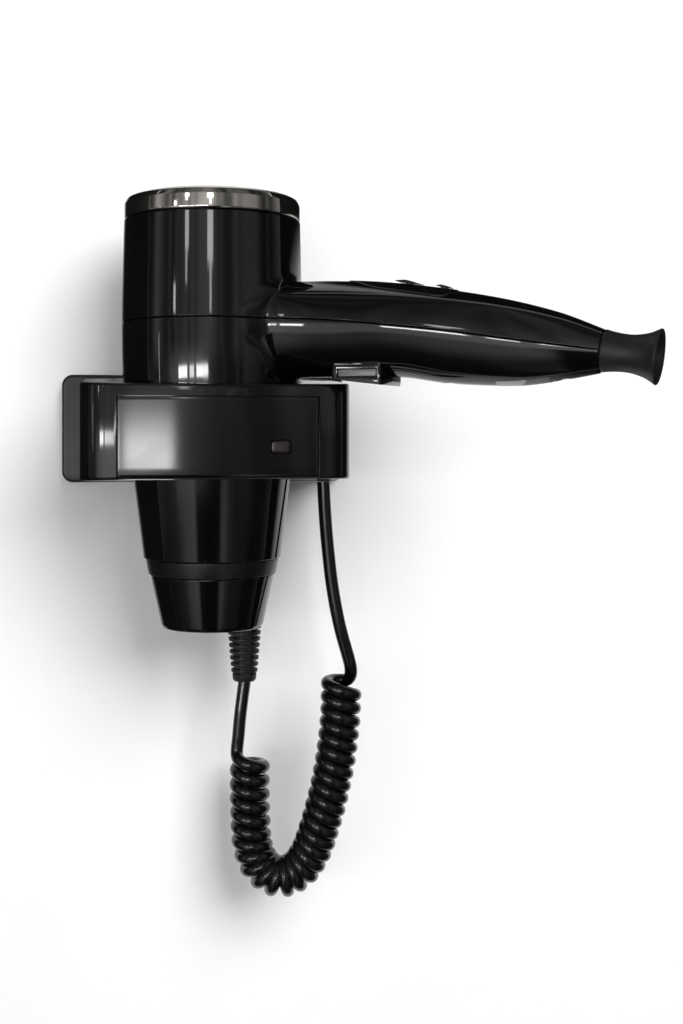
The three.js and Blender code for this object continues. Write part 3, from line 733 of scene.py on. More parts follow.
def dryer_skin():
    """An even mesh over the whole form: points in mm in the dryer's axes, and faces."""
    heights = np.linspace(-66, 100, 34)
    barrel = lathe([(0, -66)] + [(float(barrel_form_radius(z)), z) for z in heights] + [(0, 100)], 64)
    rings = []
    for x in np.linspace(4, 188, 36):
        seam, wide = seam_height(x), handle_half(x)
        ring = []
        for k in range(48):
            c, s = math.cos(2 * math.pi * k / 48), math.sin(2 * math.pi * k / 48)
            tall = handle_top(x) - seam if s > 0 else seam - handle_low(x)
            ring.append((x, wide * c, seam + tall * s))
        rings.append(ring)
    duct_outline = [(0, -82), (DUCT_RADIUS, -82), (DUCT_RADIUS, -8), (4.5, 12), (0, DUCT_BULGE_TOP)]
    duct = moved(lathe(duct_outline, 32), (*DUCT_AT, 0))
    obj = mesh_object("skin", [barrel, stack(rings), duct])
    modifier = obj.modifiers.new("even", "REMESH")
    modifier.mode = "VOXEL"
    modifier.voxel_size = 1.2 * MM
    bake_modifiers(obj)
    mesh = obj.data
    points = np.empty(len(mesh.vertices) * 3)
    mesh.vertices.foreach_get("co", points)
    points = points.reshape(-1, 3) / MM
    edges = np.empty(len(mesh.edges) * 2, int)
    mesh.edges.foreach_get("vertices", edges)
    edges = edges.reshape(-1, 2)
    faces = [tuple(f.vertices) for f in mesh.polygons]
    bpy.data.objects.remove(obj)
    count = np.bincount(edges.ravel(), minlength=len(points))[:, None]
    points = settled(dryer_form, points, 4)
    for _ in range(6):
        total = np.zeros_like(points)
        np.add.at(total, edges[:, 0], points[edges[:, 1]])
        np.add.at(total, edges[:, 1], points[edges[:, 0]])
        normal = unit(slope_of(dryer_form, points))
        pull = total / count - points
        pull -= (pull * normal).sum(1)[:, None] * normal
        points = settled(dryer_form, points + 0.6 * pull, 1)
    return settled(dryer_form, points, 2), faces


SEAM_ROLL = {1: 0.35, -1: 0.45}
END_ROLL = 0.45
ROLL_STEPS = (0.06, 0.2, 0.45, 1.0)


def rolled(distance, radius):
    """How far an edge is rounded away at a distance from it."""
    near = np.clip(radius - distance, 0, radius)
    return radius - np.sqrt(np.maximum(radius * radius - near * near, 0))


def half_shell(name, skin, side):
    """The skin on one side of the parting line, with rounded edges and a wall thickness."""
    points, faces = skin
    bm = bmesh.new()
    made = [bm.verts.new(p) for p in points]
    for face in faces:
        bm.faces.new([made[i] for i in face])

    def slice_at(at, towards, clear=False):
        everything = bm.verts[:] + bm.edges[:] + bm.faces[:]
        bmesh.ops.bisect_plane(bm, geom=everything, dist=1e-4, plane_co=at, plane_no=towards,
                               clear_inner=clear)

    for v in bm.verts:
        v.co.z -= float(seam_height(v.co.x))
    slice_at((0, 0, side * GAP / 2), (0, 0, side), True)
    for share in ROLL_STEPS:
        slice_at((0, 0, side * (GAP / 2 + share * SEAM_ROLL[side])), (0, 0, side))
    for v in bm.verts:
        v.co.z += float(seam_height(v.co.x))
    slice_at(TIP_AT, -TIP_AHEAD, True)
    for share in ROLL_STEPS:
        slice_at(TIP_AT - TIP_AHEAD * share * END_ROLL, -TIP_AHEAD)
    if side > 0:
        slice_at((0, 0, BARREL_TOP), (0, 0, -1), True)
        for share in ROLL_STEPS:
            slice_at((0, 0, BARREL_TOP - share * END_ROLL), (0, 0, -1))
    else:
        slice_at((0, 0, DUCT_BOTTOM), (0, 0, 1), True)
        slice_at((0, 0, BARREL_BOTTOM), (0, 0, 1))
        for share in ROLL_STEPS:
            slice_at((0, 0, BARREL_BOTTOM + share * END_ROLL), (0, 0, 1))
    bm.verts.index_update()
    p = np.array([v.co for v in bm.verts])
    faces = [tuple(v.index for v in f.verts) for f in bm.faces]
    rims = [tuple(v.index for v in e.verts) for e in bm.edges if len(e.link_faces) == 1]
    bm.free()

    from_seam = side * (p[:, 2] - seam_height(p[:, 0])) - GAP / 2
    p = settled(dryer_form, p, 1)
    normal = unit(slope_of(dryer_form, p))
    away = rolled(from_seam, SEAM_ROLL[side])
    away = np.maximum(away, rolled((TIP_AT - p) @ TIP_AHEAD, END_ROLL))
    if side > 0:
        away = np.maximum(away, rolled(BARREL_TOP - p[:, 2], END_ROLL))
    else:
        on_barrel = (np.hypot(p[:, 0], p[:, 1]) < 31.6) & (p[:, 2] < BARREL_BOTTOM + END_ROLL)
        away = np.where(on_barrel, np.maximum(away, rolled(p[:, 2] - BARREL_BOTTOM, END_ROLL)), away)
    outer = p - normal * away[:, None]
    inner = p - normal * WALL
    count = len(p)
    faces += [tuple(i + count for i in reversed(f)) for f in faces]
    faces += [(a, b, b + count, a + count) for a, b in rims]
    return mesh_object(name, [in_place((np.vstack([outer, inner]), faces))])


def polished(obj):
    """Takes the shading of the outer surface from the form itself, so that reflections run clean."""
    mesh = obj.data
    co = np.empty(len(mesh.vertices) * 3)
    mesh.vertices.foreach_get("co", co)
    local = to_dryer(co.reshape(-1, 3) / MM)
    normal = unit(slope_of(dryer_form, local)) @ np.array(Matrix.Rotation(math.radians(HANDLE_YAW), 3, "Z")).T
    on_form = np.abs(dryer_form(local)) < 0.012
    at = np.empty(len(mesh.loops), int)
    mesh.loops.foreach_get("vertex_index", at)
    corner = np.empty(len(mesh.loops) * 3)
    mesh.corner_normals.foreach_get("vector", corner)
    corner = corner.reshape(-1, 3)
    sizes = np.empty(len(mesh.polygons), int)
    mesh.polygons.foreach_get("loop_total", sizes)
    flat = np.empty(len(mesh.polygons) * 3)
    mesh.polygons.foreach_get("normal", flat)
    flat = np.repeat(flat.reshape(-1, 3), sizes, axis=0)
    use_form = on_form[at] & ((flat * normal[at]).sum(1) > 0.9)
    corner[use_form] = normal[at][use_form]
    mesh.normals_split_custom_set([tuple(n) for n in corner])


def surface_height(x, y, side):
    """Height of the grip's top (side 1) or underside (side -1) over a place in plan."""
    z = (handle_top(x) - 1.0) if side > 0 else (handle_low(x) + 1.0)
    for _ in range(12):
        p = np.stack([x, y, z], axis=1)
        rise = slope_of(dryer_form, p)[:, 2]
        z = z - dryer_form(p) / np.where(np.abs(rise) < 0.1, side * 0.1, rise)
    return z


def laid_on(outline, side, low, high, roll=0.0):
    """A thin plate that follows the grip between two offsets, its upper edge rounded by roll."""
    flat = np.array(outline, float)
    middle = flat.mean(axis=0)
    half = np.abs(flat - middle)[:, 1].max()
    shares = [1.0] + [1 - r * roll / half for r in (0.25, 0.6, 1.0)] * (roll > 0)
    shares += list(np.linspace(shares[-1], 0.02, 14))[1:]
    drops = [roll] + [roll * d for d in (0.34, 0.08, 0.0)] * (roll > 0)
    drops += [0.0] * (len(shares) - len(drops))
    upper, lower = [], []
    for share, drop in zip(shares, drops):
        ring = middle + (flat - middle) * share
        z = surface_height(ring[:, 0], ring[:, 1], side)
        p = np.column_stack([ring, z])
        normal = unit(slope_of(dryer_form, p))
        upper.append(p + normal * (high - drop))
        lower.append(p + normal * low)
    return stack(lower[::-1] + upper)


# ------------------------------------------------------------------ shells
PANEL = {"tip": 66, "full": 88, "end": 115.5, "half": 11.5, "proud": 0.4, "sunk": 0.7}
# Each slider: place along the grip, slope, travel each way, then its cap's length, width and height.
SLIDERS = {"speed_slider": (94, 8, 4, 9, 12, 1.0), "heat_slider": (109.5, 10, 3, 5, 9, 0.8)}
STEM_HALF = 1.2
TRIGGER = {"start": 61, "end": 88, "half": 12.4, "top": 29.3, "low_start": 21.6, "low_end": 18.9}
INSERT = {"start": 66, "end": 83.5, "low": 22.7, "high": 25.6}
LABEL = {"start": 133, "end": 155.5, "near": -6.2, "far": 7}
SCREW_PLACES = (112, 160)


def bowed(a, b, c, count=8):
    t = np.linspace(0, 1, count, endpoint=False)[:, None]
    a, b, c = (np.array(q, float) for q in (a, b, c))
    return list(a * (1 - t) ** 2 + 2 * b * t * (1 - t) + c * t * t)


def straight(a, b, count=8):
    t = np.linspace(0, 1, count, endpoint=False)[:, None]
    return list(np.array(a, float) * (1 - t) + np.array(b, float) * t)


def panel_outline(grow):
    half, back = PANEL["half"] + grow, PANEL["end"] + grow
    tip, full = PANEL["tip"] - 2 * grow, PANEL["full"]
    out = bowed((tip, 0), (tip + 8, -half), (full, -half), 14)
    out += straight((full, -half), (back - 7, -half), 10)
    out += bowed((back - 7, -half), (back, -half), (back, -half + 7))
    out += straight((back, -half + 7), (back, half - 7), 6)
    out += bowed((back, half - 7), (back, half), (back - 7, half))
    out += straight((back - 7, half), (full, half), 10)
    return out + bowed((full, half), (tip + 8, half), (tip, 0), 14)


def on_grip_top(part, at, slope):
    lift = float(handle_top(at)) + PANEL["proud"] + GAP
    return moved(part, (at, 0, lift), 0, slope)


def slider_slots():
    slots = []
    for at, slope, travel, *_ in SLIDERS.values():
        reach = STEM_HALF + travel + 0.4
        slots.append([in_place(on_grip_top(block(-reach, reach, -2.1, 2.1, -9, 4), at, slope))])
    return slots


def trigger_outline(grow):
    t = TRIGGER
    wide, narrow = t["half"] + grow, t["half"] - 7 + grow / 2
    points = [(t["start"] - grow, -narrow - 3), (t["start"] + 2.6, -wide), (t["end"] - 3, -wide),
              (t["end"] + grow, -narrow), (t["end"] + grow, narrow), (t["end"] - 3, wide),
              (t["start"] + 2.6, wide), (t["start"] - grow, narrow + 3)]
    return softened(points, 1.2 + grow, 4, True)


def make_shells():
    skin = dryer_skin()
    rear = half_shell("rear_housing_skin", skin, 1)
    pocket = [in_place(laid_on(panel_outline(GAP), 1, -PANEL["sunk"] - 0.2, 3))]
    carve(rear, pocket, *slider_slots())
    finished(rear, GLOSS, "dryer", ["rear_housing"], 32)
    polished(rear)

    front = half_shell("front_housing_skin", skin, -1)
    turning_space = lathe([(0, -95), (31, -95), (31, BARREL_BOTTOM), (0, BARREL_BOTTOM)])
    opening = plan(trigger_outline(0.5), 8, TRIGGER["top"] + 3.2)
    hole = lathe([(0, 8), (3.2, 8), (3.2, 32), (0, 32)], 40)
    holes = [[in_place(moved(hole, (x, 0, 0)))] for x in SCREW_PLACES]
    carve(front, [in_place(turning_space)], [in_place(opening)], *holes)
    finished(front, GLOSS, "dryer", ["front_housing"], 32)
    polished(front)


def make_thumb_panel():
    skin = laid_on(panel_outline(0), 1, -0.65, PANEL["proud"], 0.35)
    panel = mesh_object("thumb_panel_skin", [in_place(skin)])
    carve(panel, *slider_slots())
    finished(panel, GLOSS, "dryer", ["thumb_panel"], 42)


def make_sliders():
    for name, (at, slope, _, length, width, height) in SLIDERS.items():
        half = length / 2
        cap = [(-half, 0), (half, 0), (half, 0.35), (half - 0.7, 0.5), (0.8, height), (-0.8, height),
               (-half + 0.7, 0.5), (-half, 0.35)]
        cap = profile(cap, -width / 2, width / 2)
        knob = mesh_object(name + "_knob", [in_place(on_grip_top(cap, at, slope))])
        soft_edges(knob, 0.22, 3, 25)
        stem = block(-STEM_HALF, STEM_HALF, -1.7, 1.7, -5, 0.2)
        carve(knob, [in_place(on_grip_top(stem, at, slope))], operation="UNION")
        body = {"speed_slider": "speed_knob", "heat_slider": "heat_knob"}[name]
        finished(knob, SATIN, body, [name])


def make_trigger():
    t = TRIGGER
    side = [(t["start"] - 1, t["top"]), (t["start"] - 1, t["low_start"] + 2.5),
            (t["start"] + 1.6, t["low_start"]), (t["end"] - 2.4, t["low_end"]),
            (t["end"] + 0.6, t["low_end"] + 2), (t["end"] + 0.6, t["top"])]
    tongue = mesh_object("trigger_tongue", [in_place(profile(softened(side, 0.9, 4, True), -20, 20))])
    carve(tongue, [in_place(plan(trigger_outline(0), 10, 40))], operation="INTERSECT")
    slot = block(INSERT["start"] - GAP, INSERT["end"] + GAP, -20, 20, INSERT["low"] - GAP,
                 INSERT["high"] + GAP)
    switch_room = block(64, t["end"] + 2, -6.5, 6.5, 27.5, t["top"] + 2)
    carve(tongue, [in_place(slot)], [in_place(switch_room)])
    soft_edges(tongue, 0.28, 3, 40)
    finished(tongue, GLOSS, "trigger_unit", ["trigger"])

    half = t["half"] + 0.1
    edge = [(INSERT["start"], -half + 0.5), (INSERT["start"] + 0.8, -half), (INSERT["end"] - 0.8, -half),
            (INSERT["end"], -half + 0.5), (INSERT["end"], half - 0.5), (INSERT["end"] - 0.8, half),
            (INSERT["start"] + 0.8, half), (INSERT["start"], half - 0.5)]
    window = mesh_object("trigger_window", [in_place(plan(edge, INSERT["low"], INSERT["high"]))])
    soft_edges(window, 0.25, 3, 40)
    finished(window, GREY, "trigger_unit", ["trigger_insert"])


def make_label():
    a, b, near, far = LABEL["start"], LABEL["end"], LABEL["near"], LABEL["far"]
    corners = softened([(a, near), (b, near), (b, far), (a, far)], 1.2, 5, True)
    outline = []
    for i, corner in enumerate(corners):
        after = corners[(i + 1) % len(corners)]
        outline += straight(corner, after, max(1, round(float(np.linalg.norm(after - corner)) / 0.9)))
    label = mesh_object("rating_foil", [in_place(laid_on(outline, -1, -0.3, 0.12, 0.04))])
    finished(label, FOIL, "dryer", ["rating_label"])


def screw_part(head, height, shank, length):
    """A domed cross-head screw pointing up, its head's face down."""
    outline = [(0, -0.1), (0.4 * head, -0.05), (0.75 * head, 0.15), (0.97 * head, 0.55), (head, 0.8),
               (head, height), (shank, height), (shank, length - 1), (0.3, length), (0, length)]
    return lathe(outline, 48)


def make_housing_screws():
    for i, x in enumerate(SCREW_PLACES):
        face = float(handle_low(x)) + 0.5
        part = moved(screw_part(2.8, 1.4, 1.3, 9), (x, 0, face))
        screw = mesh_object(f"grip_screw_{i + 1}", [in_place(part)])
        bars = [block(-1.5, 1.5, -0.28, 0.28, -1, 0.9), block(-0.28, 0.28, -1.5, 1.5, -1, 0.9)]
        carve(screw, *[[in_place(moved(bar, (x, 0, face)))] for bar in bars])
        finished(screw, STEEL, "dryer", [f"housing_screw_{i + 1}"], 30)


# ------------------------------------------------------------------ ends of the barrel and grip
def turned_piece(name, outline, finish, body, stands_for, radius=0.4, segments=168):
    """A ring turned about the barrel's axis, from a closed outline with rounded corners."""
    ring = lathe(softened(outline, radius, 5, True), segments, True)
    finished(mesh_object(name, [in_place(ring)]), finish, body, stands_for)


def make_grille(name, rim, rings, bars, z0, z1, finish, stands_for, hub):
    """Concentric hoops joined by radial bars."""
    hoops = []
    for inner, outer in rings + [(rim - 2.2, rim)]:
        box = [(inner, z0), (outer, z0), (outer, z1), (inner, z1)]
        hoops.append(in_place(lathe(softened(box, 0.45, 4, True), 120, True)))
    boss = softened([(0, z0), (hub, z0), (hub, z1), (0, z1 + 0.3)], 0.6)
    hoops.append(in_place(lathe([(0, z0)] + boss[1:-1] + [(0, z1 + 0.3)], 72)))
    obj = mesh_object(name, hoops)
    spokes = []
    for inner, outer, count, wide in bars:
        for k in range(count):
            spoke = block(inner - 0.5, outer + 0.5, -wide / 2, wide / 2, z0 + 0.3, z1 - 0.25)
            spokes.append(in_place(moved(spoke, (0, 0, 0), 360 * k / count)))
    carve(obj, spokes, operation="UNION")
    finished(obj, finish, "dryer", stands_for, 34)


def make_ends():
    r, top = RING_RADIUS, RING_TOP
    ring = [(r, BARREL_TOP + GAP), (r, top - 3.4), (r - 0.9, top - 1.2), (r - 3.2, top),
            (INLET_RADIUS + 0.7, top - 0.4), (INLET_RADIUS, top - 1.6), (INLET_RADIUS, BARREL_TOP + GAP)]
    turned_piece("chrome_trim_ring", ring, CHROME, "dryer", ["trim_ring"], 1.3, 200)
    make_grille("inlet_guard", INLET_RADIUS - GAP, [(13, 15), (22, 24)],
                [(6, 13, 6, 3), (15, 22, 10, 3), (24, 30.7, 14, 3)], BARREL_TOP + 0.5, 96, SATIN,
                ["intake_grille"], 6)
    collar = [(26, COLLAR_BOTTOM), (28.4, COLLAR_BOTTOM), (29.7, BARREL_BOTTOM - GAP),
              (28.1, BARREL_BOTTOM - GAP), (28.1, -52), (26, -52)]
    turned_piece("outlet_collar_ring", collar, SATIN, "dryer", ["outlet_collar"], 0.4)
    make_grille("outlet_guard", 25.6, [(12, 14)], [(4, 12, 5, 2.4), (14, 23.6, 8, 2.4)], -62.8, -60.6, STEEL,
                ["outlet_grille"], 4)
    nozzle = [(25.5, COLLAR_BOTTOM - GAP), (27.6, COLLAR_BOTTOM - GAP), (22.9, NOZZLE_BOTTOM + 1.6),
              (22.2, NOZZLE_BOTTOM + 0.4), (21.4, NOZZLE_BOTTOM), (20.6, NOZZLE_BOTTOM),
              (20.6, NOZZLE_BOTTOM + 2)]
    turned_piece("nozzle_cone_skin", nozzle, GLOSS, "nozzle_cone", ["nozzle"], 0.5)

    outer = through([(GAP, 8.75), (3, 8.2), (8.5, 7.65), (13, 7.9), (18, 9.2), (22, 11.3)])
    inner = through([(-8, 5), (0, 5), (9, 5.8), (17, 7.4), (22.7, 9.8)])
    bell = [(6.1, -8), (6.1, GAP), (8.5, GAP)] + [(float(outer(z)), z) for z in np.linspace(0.6, 22, 26)]
    bell += [(11.28, 22.45), (11.0, 22.68), (10.3, 22.7), (9.9, 22.6)]
    bell += [(float(inner(z)), z) for z in np.linspace(22, -8, 26)]
    obj = mesh_object("bell_end_rubber", [in_place(at_tip(lathe(bell, 120, True)))])
    finished(obj, RUBBER, "dryer", ["bell_end"], 50)


RELIEF_TOP, RELIEF_END, RELIEF_RIBS = -75.3, -118.7, 12


def make_strain_relief():
    """Ribbed sleeve: a slim core, rounded ribs, a plain spine front and back, and a cup at its foot."""
    first = RELIEF_TOP - 4.2
    pitch = (first - RELIEF_END - 3.6) / RELIEF_RIBS

    def reach(z):
        return 9.2 - 3.4 * (first - z) / (first - RELIEF_END)

    foot = reach(RELIEF_END)
    core = [(0, -69), (2.7, -69), (2.7, RELIEF_TOP), (8.0, RELIEF_TOP), (8.3, RELIEF_TOP - 0.4),
            (8.3, first + 0.3), (reach(first) - 2.0, first), (foot - 1.6, RELIEF_END + 3.8),
            (foot - 0.1, RELIEF_END + 3.4), (foot - 0.3, RELIEF_END + 0.8), (foot - 1.0, RELIEF_END),
            (0, RELIEF_END)]
    put = (*DUCT_AT, 0)
    obj = mesh_object("strain_relief_sleeve", [in_place(moved(lathe(core, 60), put))])
    ribs = []
    for i in range(RELIEF_RIBS):
        z = first - (i + 0.5) * pitch
        r = reach(z)
        rib = softened([(1, z - 0.85), (r, z - 0.85), (r, z + 0.85), (1, z + 0.85)], 0.6, 4)
        ribs.append(in_place(moved(lathe([(0, z - 0.85)] + rib[1:-1] + [(0, z + 0.85)], 60), put)))
    spines = []
    for side in (-1, 1):
        edge = [(side * (reach(z) - d), z) for z, d in ((first + 0.2, 0.5), (RELIEF_END + 2.6, 0.5))]
        outline = edge + [(0, RELIEF_END + 2.6), (0, first + 0.2)]
        bar = stack([[(w, y, z) for y, z in outline] for w in (-2.6, 2.6)])
        spines.append([in_place(moved(moved(bar, (0, 0, 0), -HANDLE_YAW), put))])
    carve(obj, ribs, *spines, operation="UNION")
    finished(obj, RUBBER, "dryer", ["strain_relief"], 40)


# ------------------------------------------------------------------ wall holder
PLATE = {"width": 136.4, "height": 51.5, "depth": 9.5, "corner": 5, "lift": 0.75}
WALL_SCREW_OUT, WALL_SCREW_UP = 42, 13
HOLDER = {"half": 58, "front": 102.5, "bow": 5, "corner": 14}
FASCIA_HALF, FASCIA_TOP, FASCIA_THICK = 42.5, 14, 1.5
LAMP = {"x": 25.9, "z": -7.1, "width": 8.4, "height": 5.8}
EDGE_ROUND = 1.3
HOLDER_BACK = -(PLATE["depth"] + GAP)


def holder_top(y):
    return 26 + 7 * y / 107.5


def holder_low(y):
    return -25 - 4.6 * y / 107.5


def bow_line(inset):
    """Centre height and radius of the bowed front."""
    flat = HOLDER["half"] - HOLDER["corner"]
    radius = (flat ** 2 + HOLDER["bow"] ** 2) / (2 * HOLDER["bow"])
    return radius - HOLDER["front"], radius - inset


def front_at(x, inset=0.0):
    centre, radius = bow_line(inset)
    return centre - np.sqrt(radius ** 2 - np.asarray(x, float) ** 2)


def holder_outline(inset):
    """Straight sides, round corners and a slightly bowed front, from left to right."""
    flat = HOLDER["half"] - HOLDER["corner"]
    centre, full = bow_line(0)
    corner_y = centre - math.sqrt((full - HOLDER["corner"]) ** 2 - flat ** 2)
    lean = math.asin(flat / (full - HOLDER["corner"]))
    right = []
    for angle in np.linspace(lean, math.pi / 2, 15):
        reach = HOLDER["corner"] - inset
        right.append((flat + reach * math.sin(angle), corner_y - reach * math.cos(angle)))
    start = right[0][0]
    bow = [(x, float(front_at(x, inset))) for x in np.linspace(-start, start, 41)[1:-1]]
    side = [(HOLDER["half"] - inset, y) for y in np.linspace(right[-1][1], HOLDER_BACK, 9)[1:]]
    right += side
    left = [(-x, y) for x, y in reversed(right)]
    return left + bow + right


def holder_body():
    rings = []
    for share in np.linspace(1, 0, 7):
        inset = EDGE_ROUND * (1 - math.cos(share * math.pi / 2))
        drop = EDGE_ROUND * (1 - math.sin(share * math.pi / 2))
        rings.append([(x, y, holder_low(y) + drop) for x, y in holder_outline(inset)])
    for share in np.linspace(0, 1, 7):
        inset = EDGE_ROUND * (1 - math.cos(share * math.pi / 2))
        drop = EDGE_ROUND * (1 - math.sin(share * math.pi / 2))
        rings.append([(x, y, holder_top(y) - drop) for x, y in holder_outline(inset)])
    return stack(rings)


def seat_hole():
    """The tapered seat, with rounded lips that follow the sloping top and underside."""
    rings = []
    turns = [2 * math.pi * k / 144 for k in range(144)]

    def ring(at, flare):
        out = []
        for a in turns:
            flat_y = -AXIS_TO_WALL + 39 * math.sin(a)
            z = at(flat_y)
            r = float(barrel_radius(z)) + 0.35 + flare
            out.append((r * math.cos(a), -AXIS_TO_WALL + r * math.sin(a), z))
        return out

    lip = 1.1
    drops = [(-3, lip + 1.5), (0, lip), (0.12, 0.6), (0.35, 0.27), (0.7, 0.07), (lip, 0)]
    for drop, flare in drops:
        rings.append(ring(lambda y, d=drop: holder_low(y) + d, flare))
    for z in np.linspace(-16, 14, 7):
        rings.append(ring(lambda y, h=z: h, 0))
    for drop, flare in reversed(drops):
        rings.append(ring(lambda y, d=drop: holder_top(y) - d, flare))
    return stack(rings)


def fascia_recess():
    lip = FASCIA_TOP + GAP
    section = [(2.0, -40), (2.0, lip), (0.18, lip), (-0.62, lip + 0.8), (-20, lip + 0.8), (-20, -40)]
    rings = []
    for x in np.linspace(-FASCIA_HALF - GAP, FASCIA_HALF + GAP, 37):
        rings.append([(x, float(front_at(x, inset)), z) for inset, z in section])
    return stack(rings)


def lamp_outline(grow, radius=1.6):
    w, h = LAMP["width"] / 2 + grow, LAMP["height"] / 2 + grow
    x, z = LAMP["x"], LAMP["z"]
    return softened([(x - w, z - h), (x + w, z - h), (x + w, z + h), (x - w, z + h)], radius + grow, 6, True)


def lamp_hole():
    return profile(lamp_outline(GAP), -120, -92)


def make_holder():
    body = mesh_object("holder_body", [holder_body()])
    keyway = moved(lathe([(0, -35), (9.9, -35), (9.9, 35), (0, 35)], 72), (*DUCT_AT, 0))
    throat = block(DUCT_AT[0] - 9.9, DUCT_AT[0] + 9.9, DUCT_AT[1] - 12, DUCT_AT[1], -36, 36)
    tools = [[seat_hole()], [in_place(keyway)], [in_place(throat)], [fascia_recess()], [lamp_hole()]]
    tools += [[block(a, b, -28, 0, -14, 21)] for a, b in ((-54, -30), (30, 54))]
    gland_x, gland_y = UPPER_LEAD[0][:2]
    for radius, top in ((3.4, -15), (4.6, -18.5)):
        hole = lathe([(0, -40), (radius, -40), (radius, top), (0, top)], 48)
        tools.append([moved(hole, (gland_x, gland_y, 0))])
    latch = softened([(-55.6, -29), (-45.5, -29), (-45.5, -22.5), (-55.6, -22.5)], 2.4, 6, True)
    tools.append([plan(latch, 21.6, 40)])
    carve(body, *tools)
    finished(body, GLOSS_HOLDER, "holder", ["ring_housing"], 34)


def make_fascia():
    """Front skin of the holder, with rounded edges all round."""
    def section(extra):
        top = [(FASCIA_THICK, FASCIA_TOP), (0.3, FASCIA_TOP), (0.13, FASCIA_TOP - 0.05),
               (0.03, FASCIA_TOP - 0.16), (0, FASCIA_TOP - 0.32)]
        face = [(0, z) for z in np.linspace(12.5, -18.4, 12)]
        foot = [(0.08, -19.2), (0.35, -19.9), (0.8, -20.35), (1.3, -20.5),
                (FASCIA_THICK, -20.5)]
        return [(min(inset + extra, FASCIA_THICK), z) for inset, z in top + face + foot]

    reach = FASCIA_HALF
    ends = [(0, 0.5), (0.1, 0.24), (0.28, 0.07), (0.55, 0)]
    stations = [(-reach + d, e) for d, e in ends]
    stations += [(x, 0) for x in np.linspace(-reach + 1.5, reach - 1.5, 43)]
    stations += [(reach - d, e) for d, e in reversed(ends)]
    rings = [[(x, float(front_at(x, inset)), z) for inset, z in section(extra)] for x, extra in stations]
    skin = mesh_object("fascia_skin", [stack(rings)])
    carve(skin, [lamp_hole()])
    finished(skin, FASCIA_GLOSS, "holder", ["fascia_panel"], 34)

    face = -float(front_at(LAMP["x"]))
    rings = []
    for grow, y in ((0, 94), (0, face - 0.75), (-0.08, face - 0.42), (-0.3, face - 0.2), (-0.8, face - 0.05),
                    (-1.5, face)):
        rings.append([(x, -y, z) for x, z in lamp_outline(grow)])
    lens = mesh_object("pilot_lamp_lens", [stack(rings)])
    finished(lens, LENS, "holder", ["pilot_lamp"], 50)


def make_plate():
    half, tall, radius = PLATE["width"] / 2, PLATE["height"] / 2, PLATE["corner"]

    def outline(inset):
        out = []
        for cx, cz, start in ((1, 1, 0), (-1, 1, 90), (-1, -1, 180), (1, -1, 270)):
            for angle in np.radians(np.linspace(start, start + 90, 11)):
                reach = radius - inset
                out.append((cx * (half - radius) + reach * math.cos(angle),
                            cz * (tall - radius) + reach * math.sin(angle) + PLATE["lift"]))
        return out

    levels = [(0.6, 0), (0, 0.5)]
    for share in np.linspace(0, 1, 8):
        levels.append((1.5 * (1 - math.cos(share * math.pi / 2)),
                       PLATE["depth"] - 1.5 * (1 - math.sin(share * math.pi / 2))))
    rings = [[(x, -depth, z) for x, z in outline(inset)] for inset, depth in levels]
    plate = mesh_object("wall_plate_moulding", [stack(rings)])
    points, faces = lathe([(0, -20), (2.6, -20), (2.6, 2), (0, 2)], 40)
    holes = [(np.column_stack([points[:, 0] + x, points[:, 2], points[:, 1] + WALL_SCREW_UP]), faces)
             for x in (-WALL_SCREW_OUT, WALL_SCREW_OUT)]
    carve(plate, holes)
    finished(plate, PLATE_SATIN, "holder", ["wall_plate"], 34)


def make_gland():
    x, y = UPPER_LEAD[0][:2]
    outline = [(0, -19), (3.3, -19), (4.3, -19.4), (4.3, -22.9), (4.0, -23.3), (3.5, -23.5), (2.85, -23.5),
               (2.85, -20)]
    bushing = lathe(softened(outline, 0.25) + [(0, -20)], 72)
    gland = mesh_object("cord_bushing", [moved(bushing, (x, y, 0))])
    finished(gland, RUBBER, "holder", ["cord_gland"])


# ------------------------------------------------------------------ cord
def make_cord():
    line = cord_line()
    cord = mesh_object("coiled_cord", [tube(line, CORD_RADIUS, CORD_SIDES)])
    painted(cord, CORD, 70)
    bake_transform(cord)
    # A share from 0 on the long leg to 1 at the coil's end is worked out here, but nothing uses it.
    along = lengths(line)
    still = 0.42 * along[-1]
    coil_end = along[-1] - lengths(evenly(flowing(LOWER_LEAD), LEAD_STEP))[-1] - 4
    share = np.clip((along - still) / (coil_end - still), 0, 1)
    share = 0.5 * share + 0.5 * share * share * (3 - 2 * share)
    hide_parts("cord_upper_lead", "cord_coil", "cord_lower_lead")


make_cord()
make_shells()
make_thumb_panel()
make_sliders()
make_trigger()
make_label()
make_housing_screws()
make_ends()
make_strain_relief()
make_holder()
make_fascia()
make_plate()
make_gland()

# ------------------------------------------------------------------ inner parts keep the frame's own shapes
INSIDE = {
    "wall_screw_left": STEEL, "wall_screw_right": STEEL, "terminal_block": WHITE, "trigger_switch": SATIN,
    "switch_board": BOARD, "intake_filter": SCREEN, "fan": SATIN, "motor_shaft": STEEL, "motor": STEEL,
    "motor_mount": WHITE, "heater_frame": MICA, "heater_wire": COIL_WIRE, "heater_sleeve": MICA,
    "thermal_cutout": BRASS,
}
for name, finish in INSIDE.items():
    painted(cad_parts[name], finish, 35)


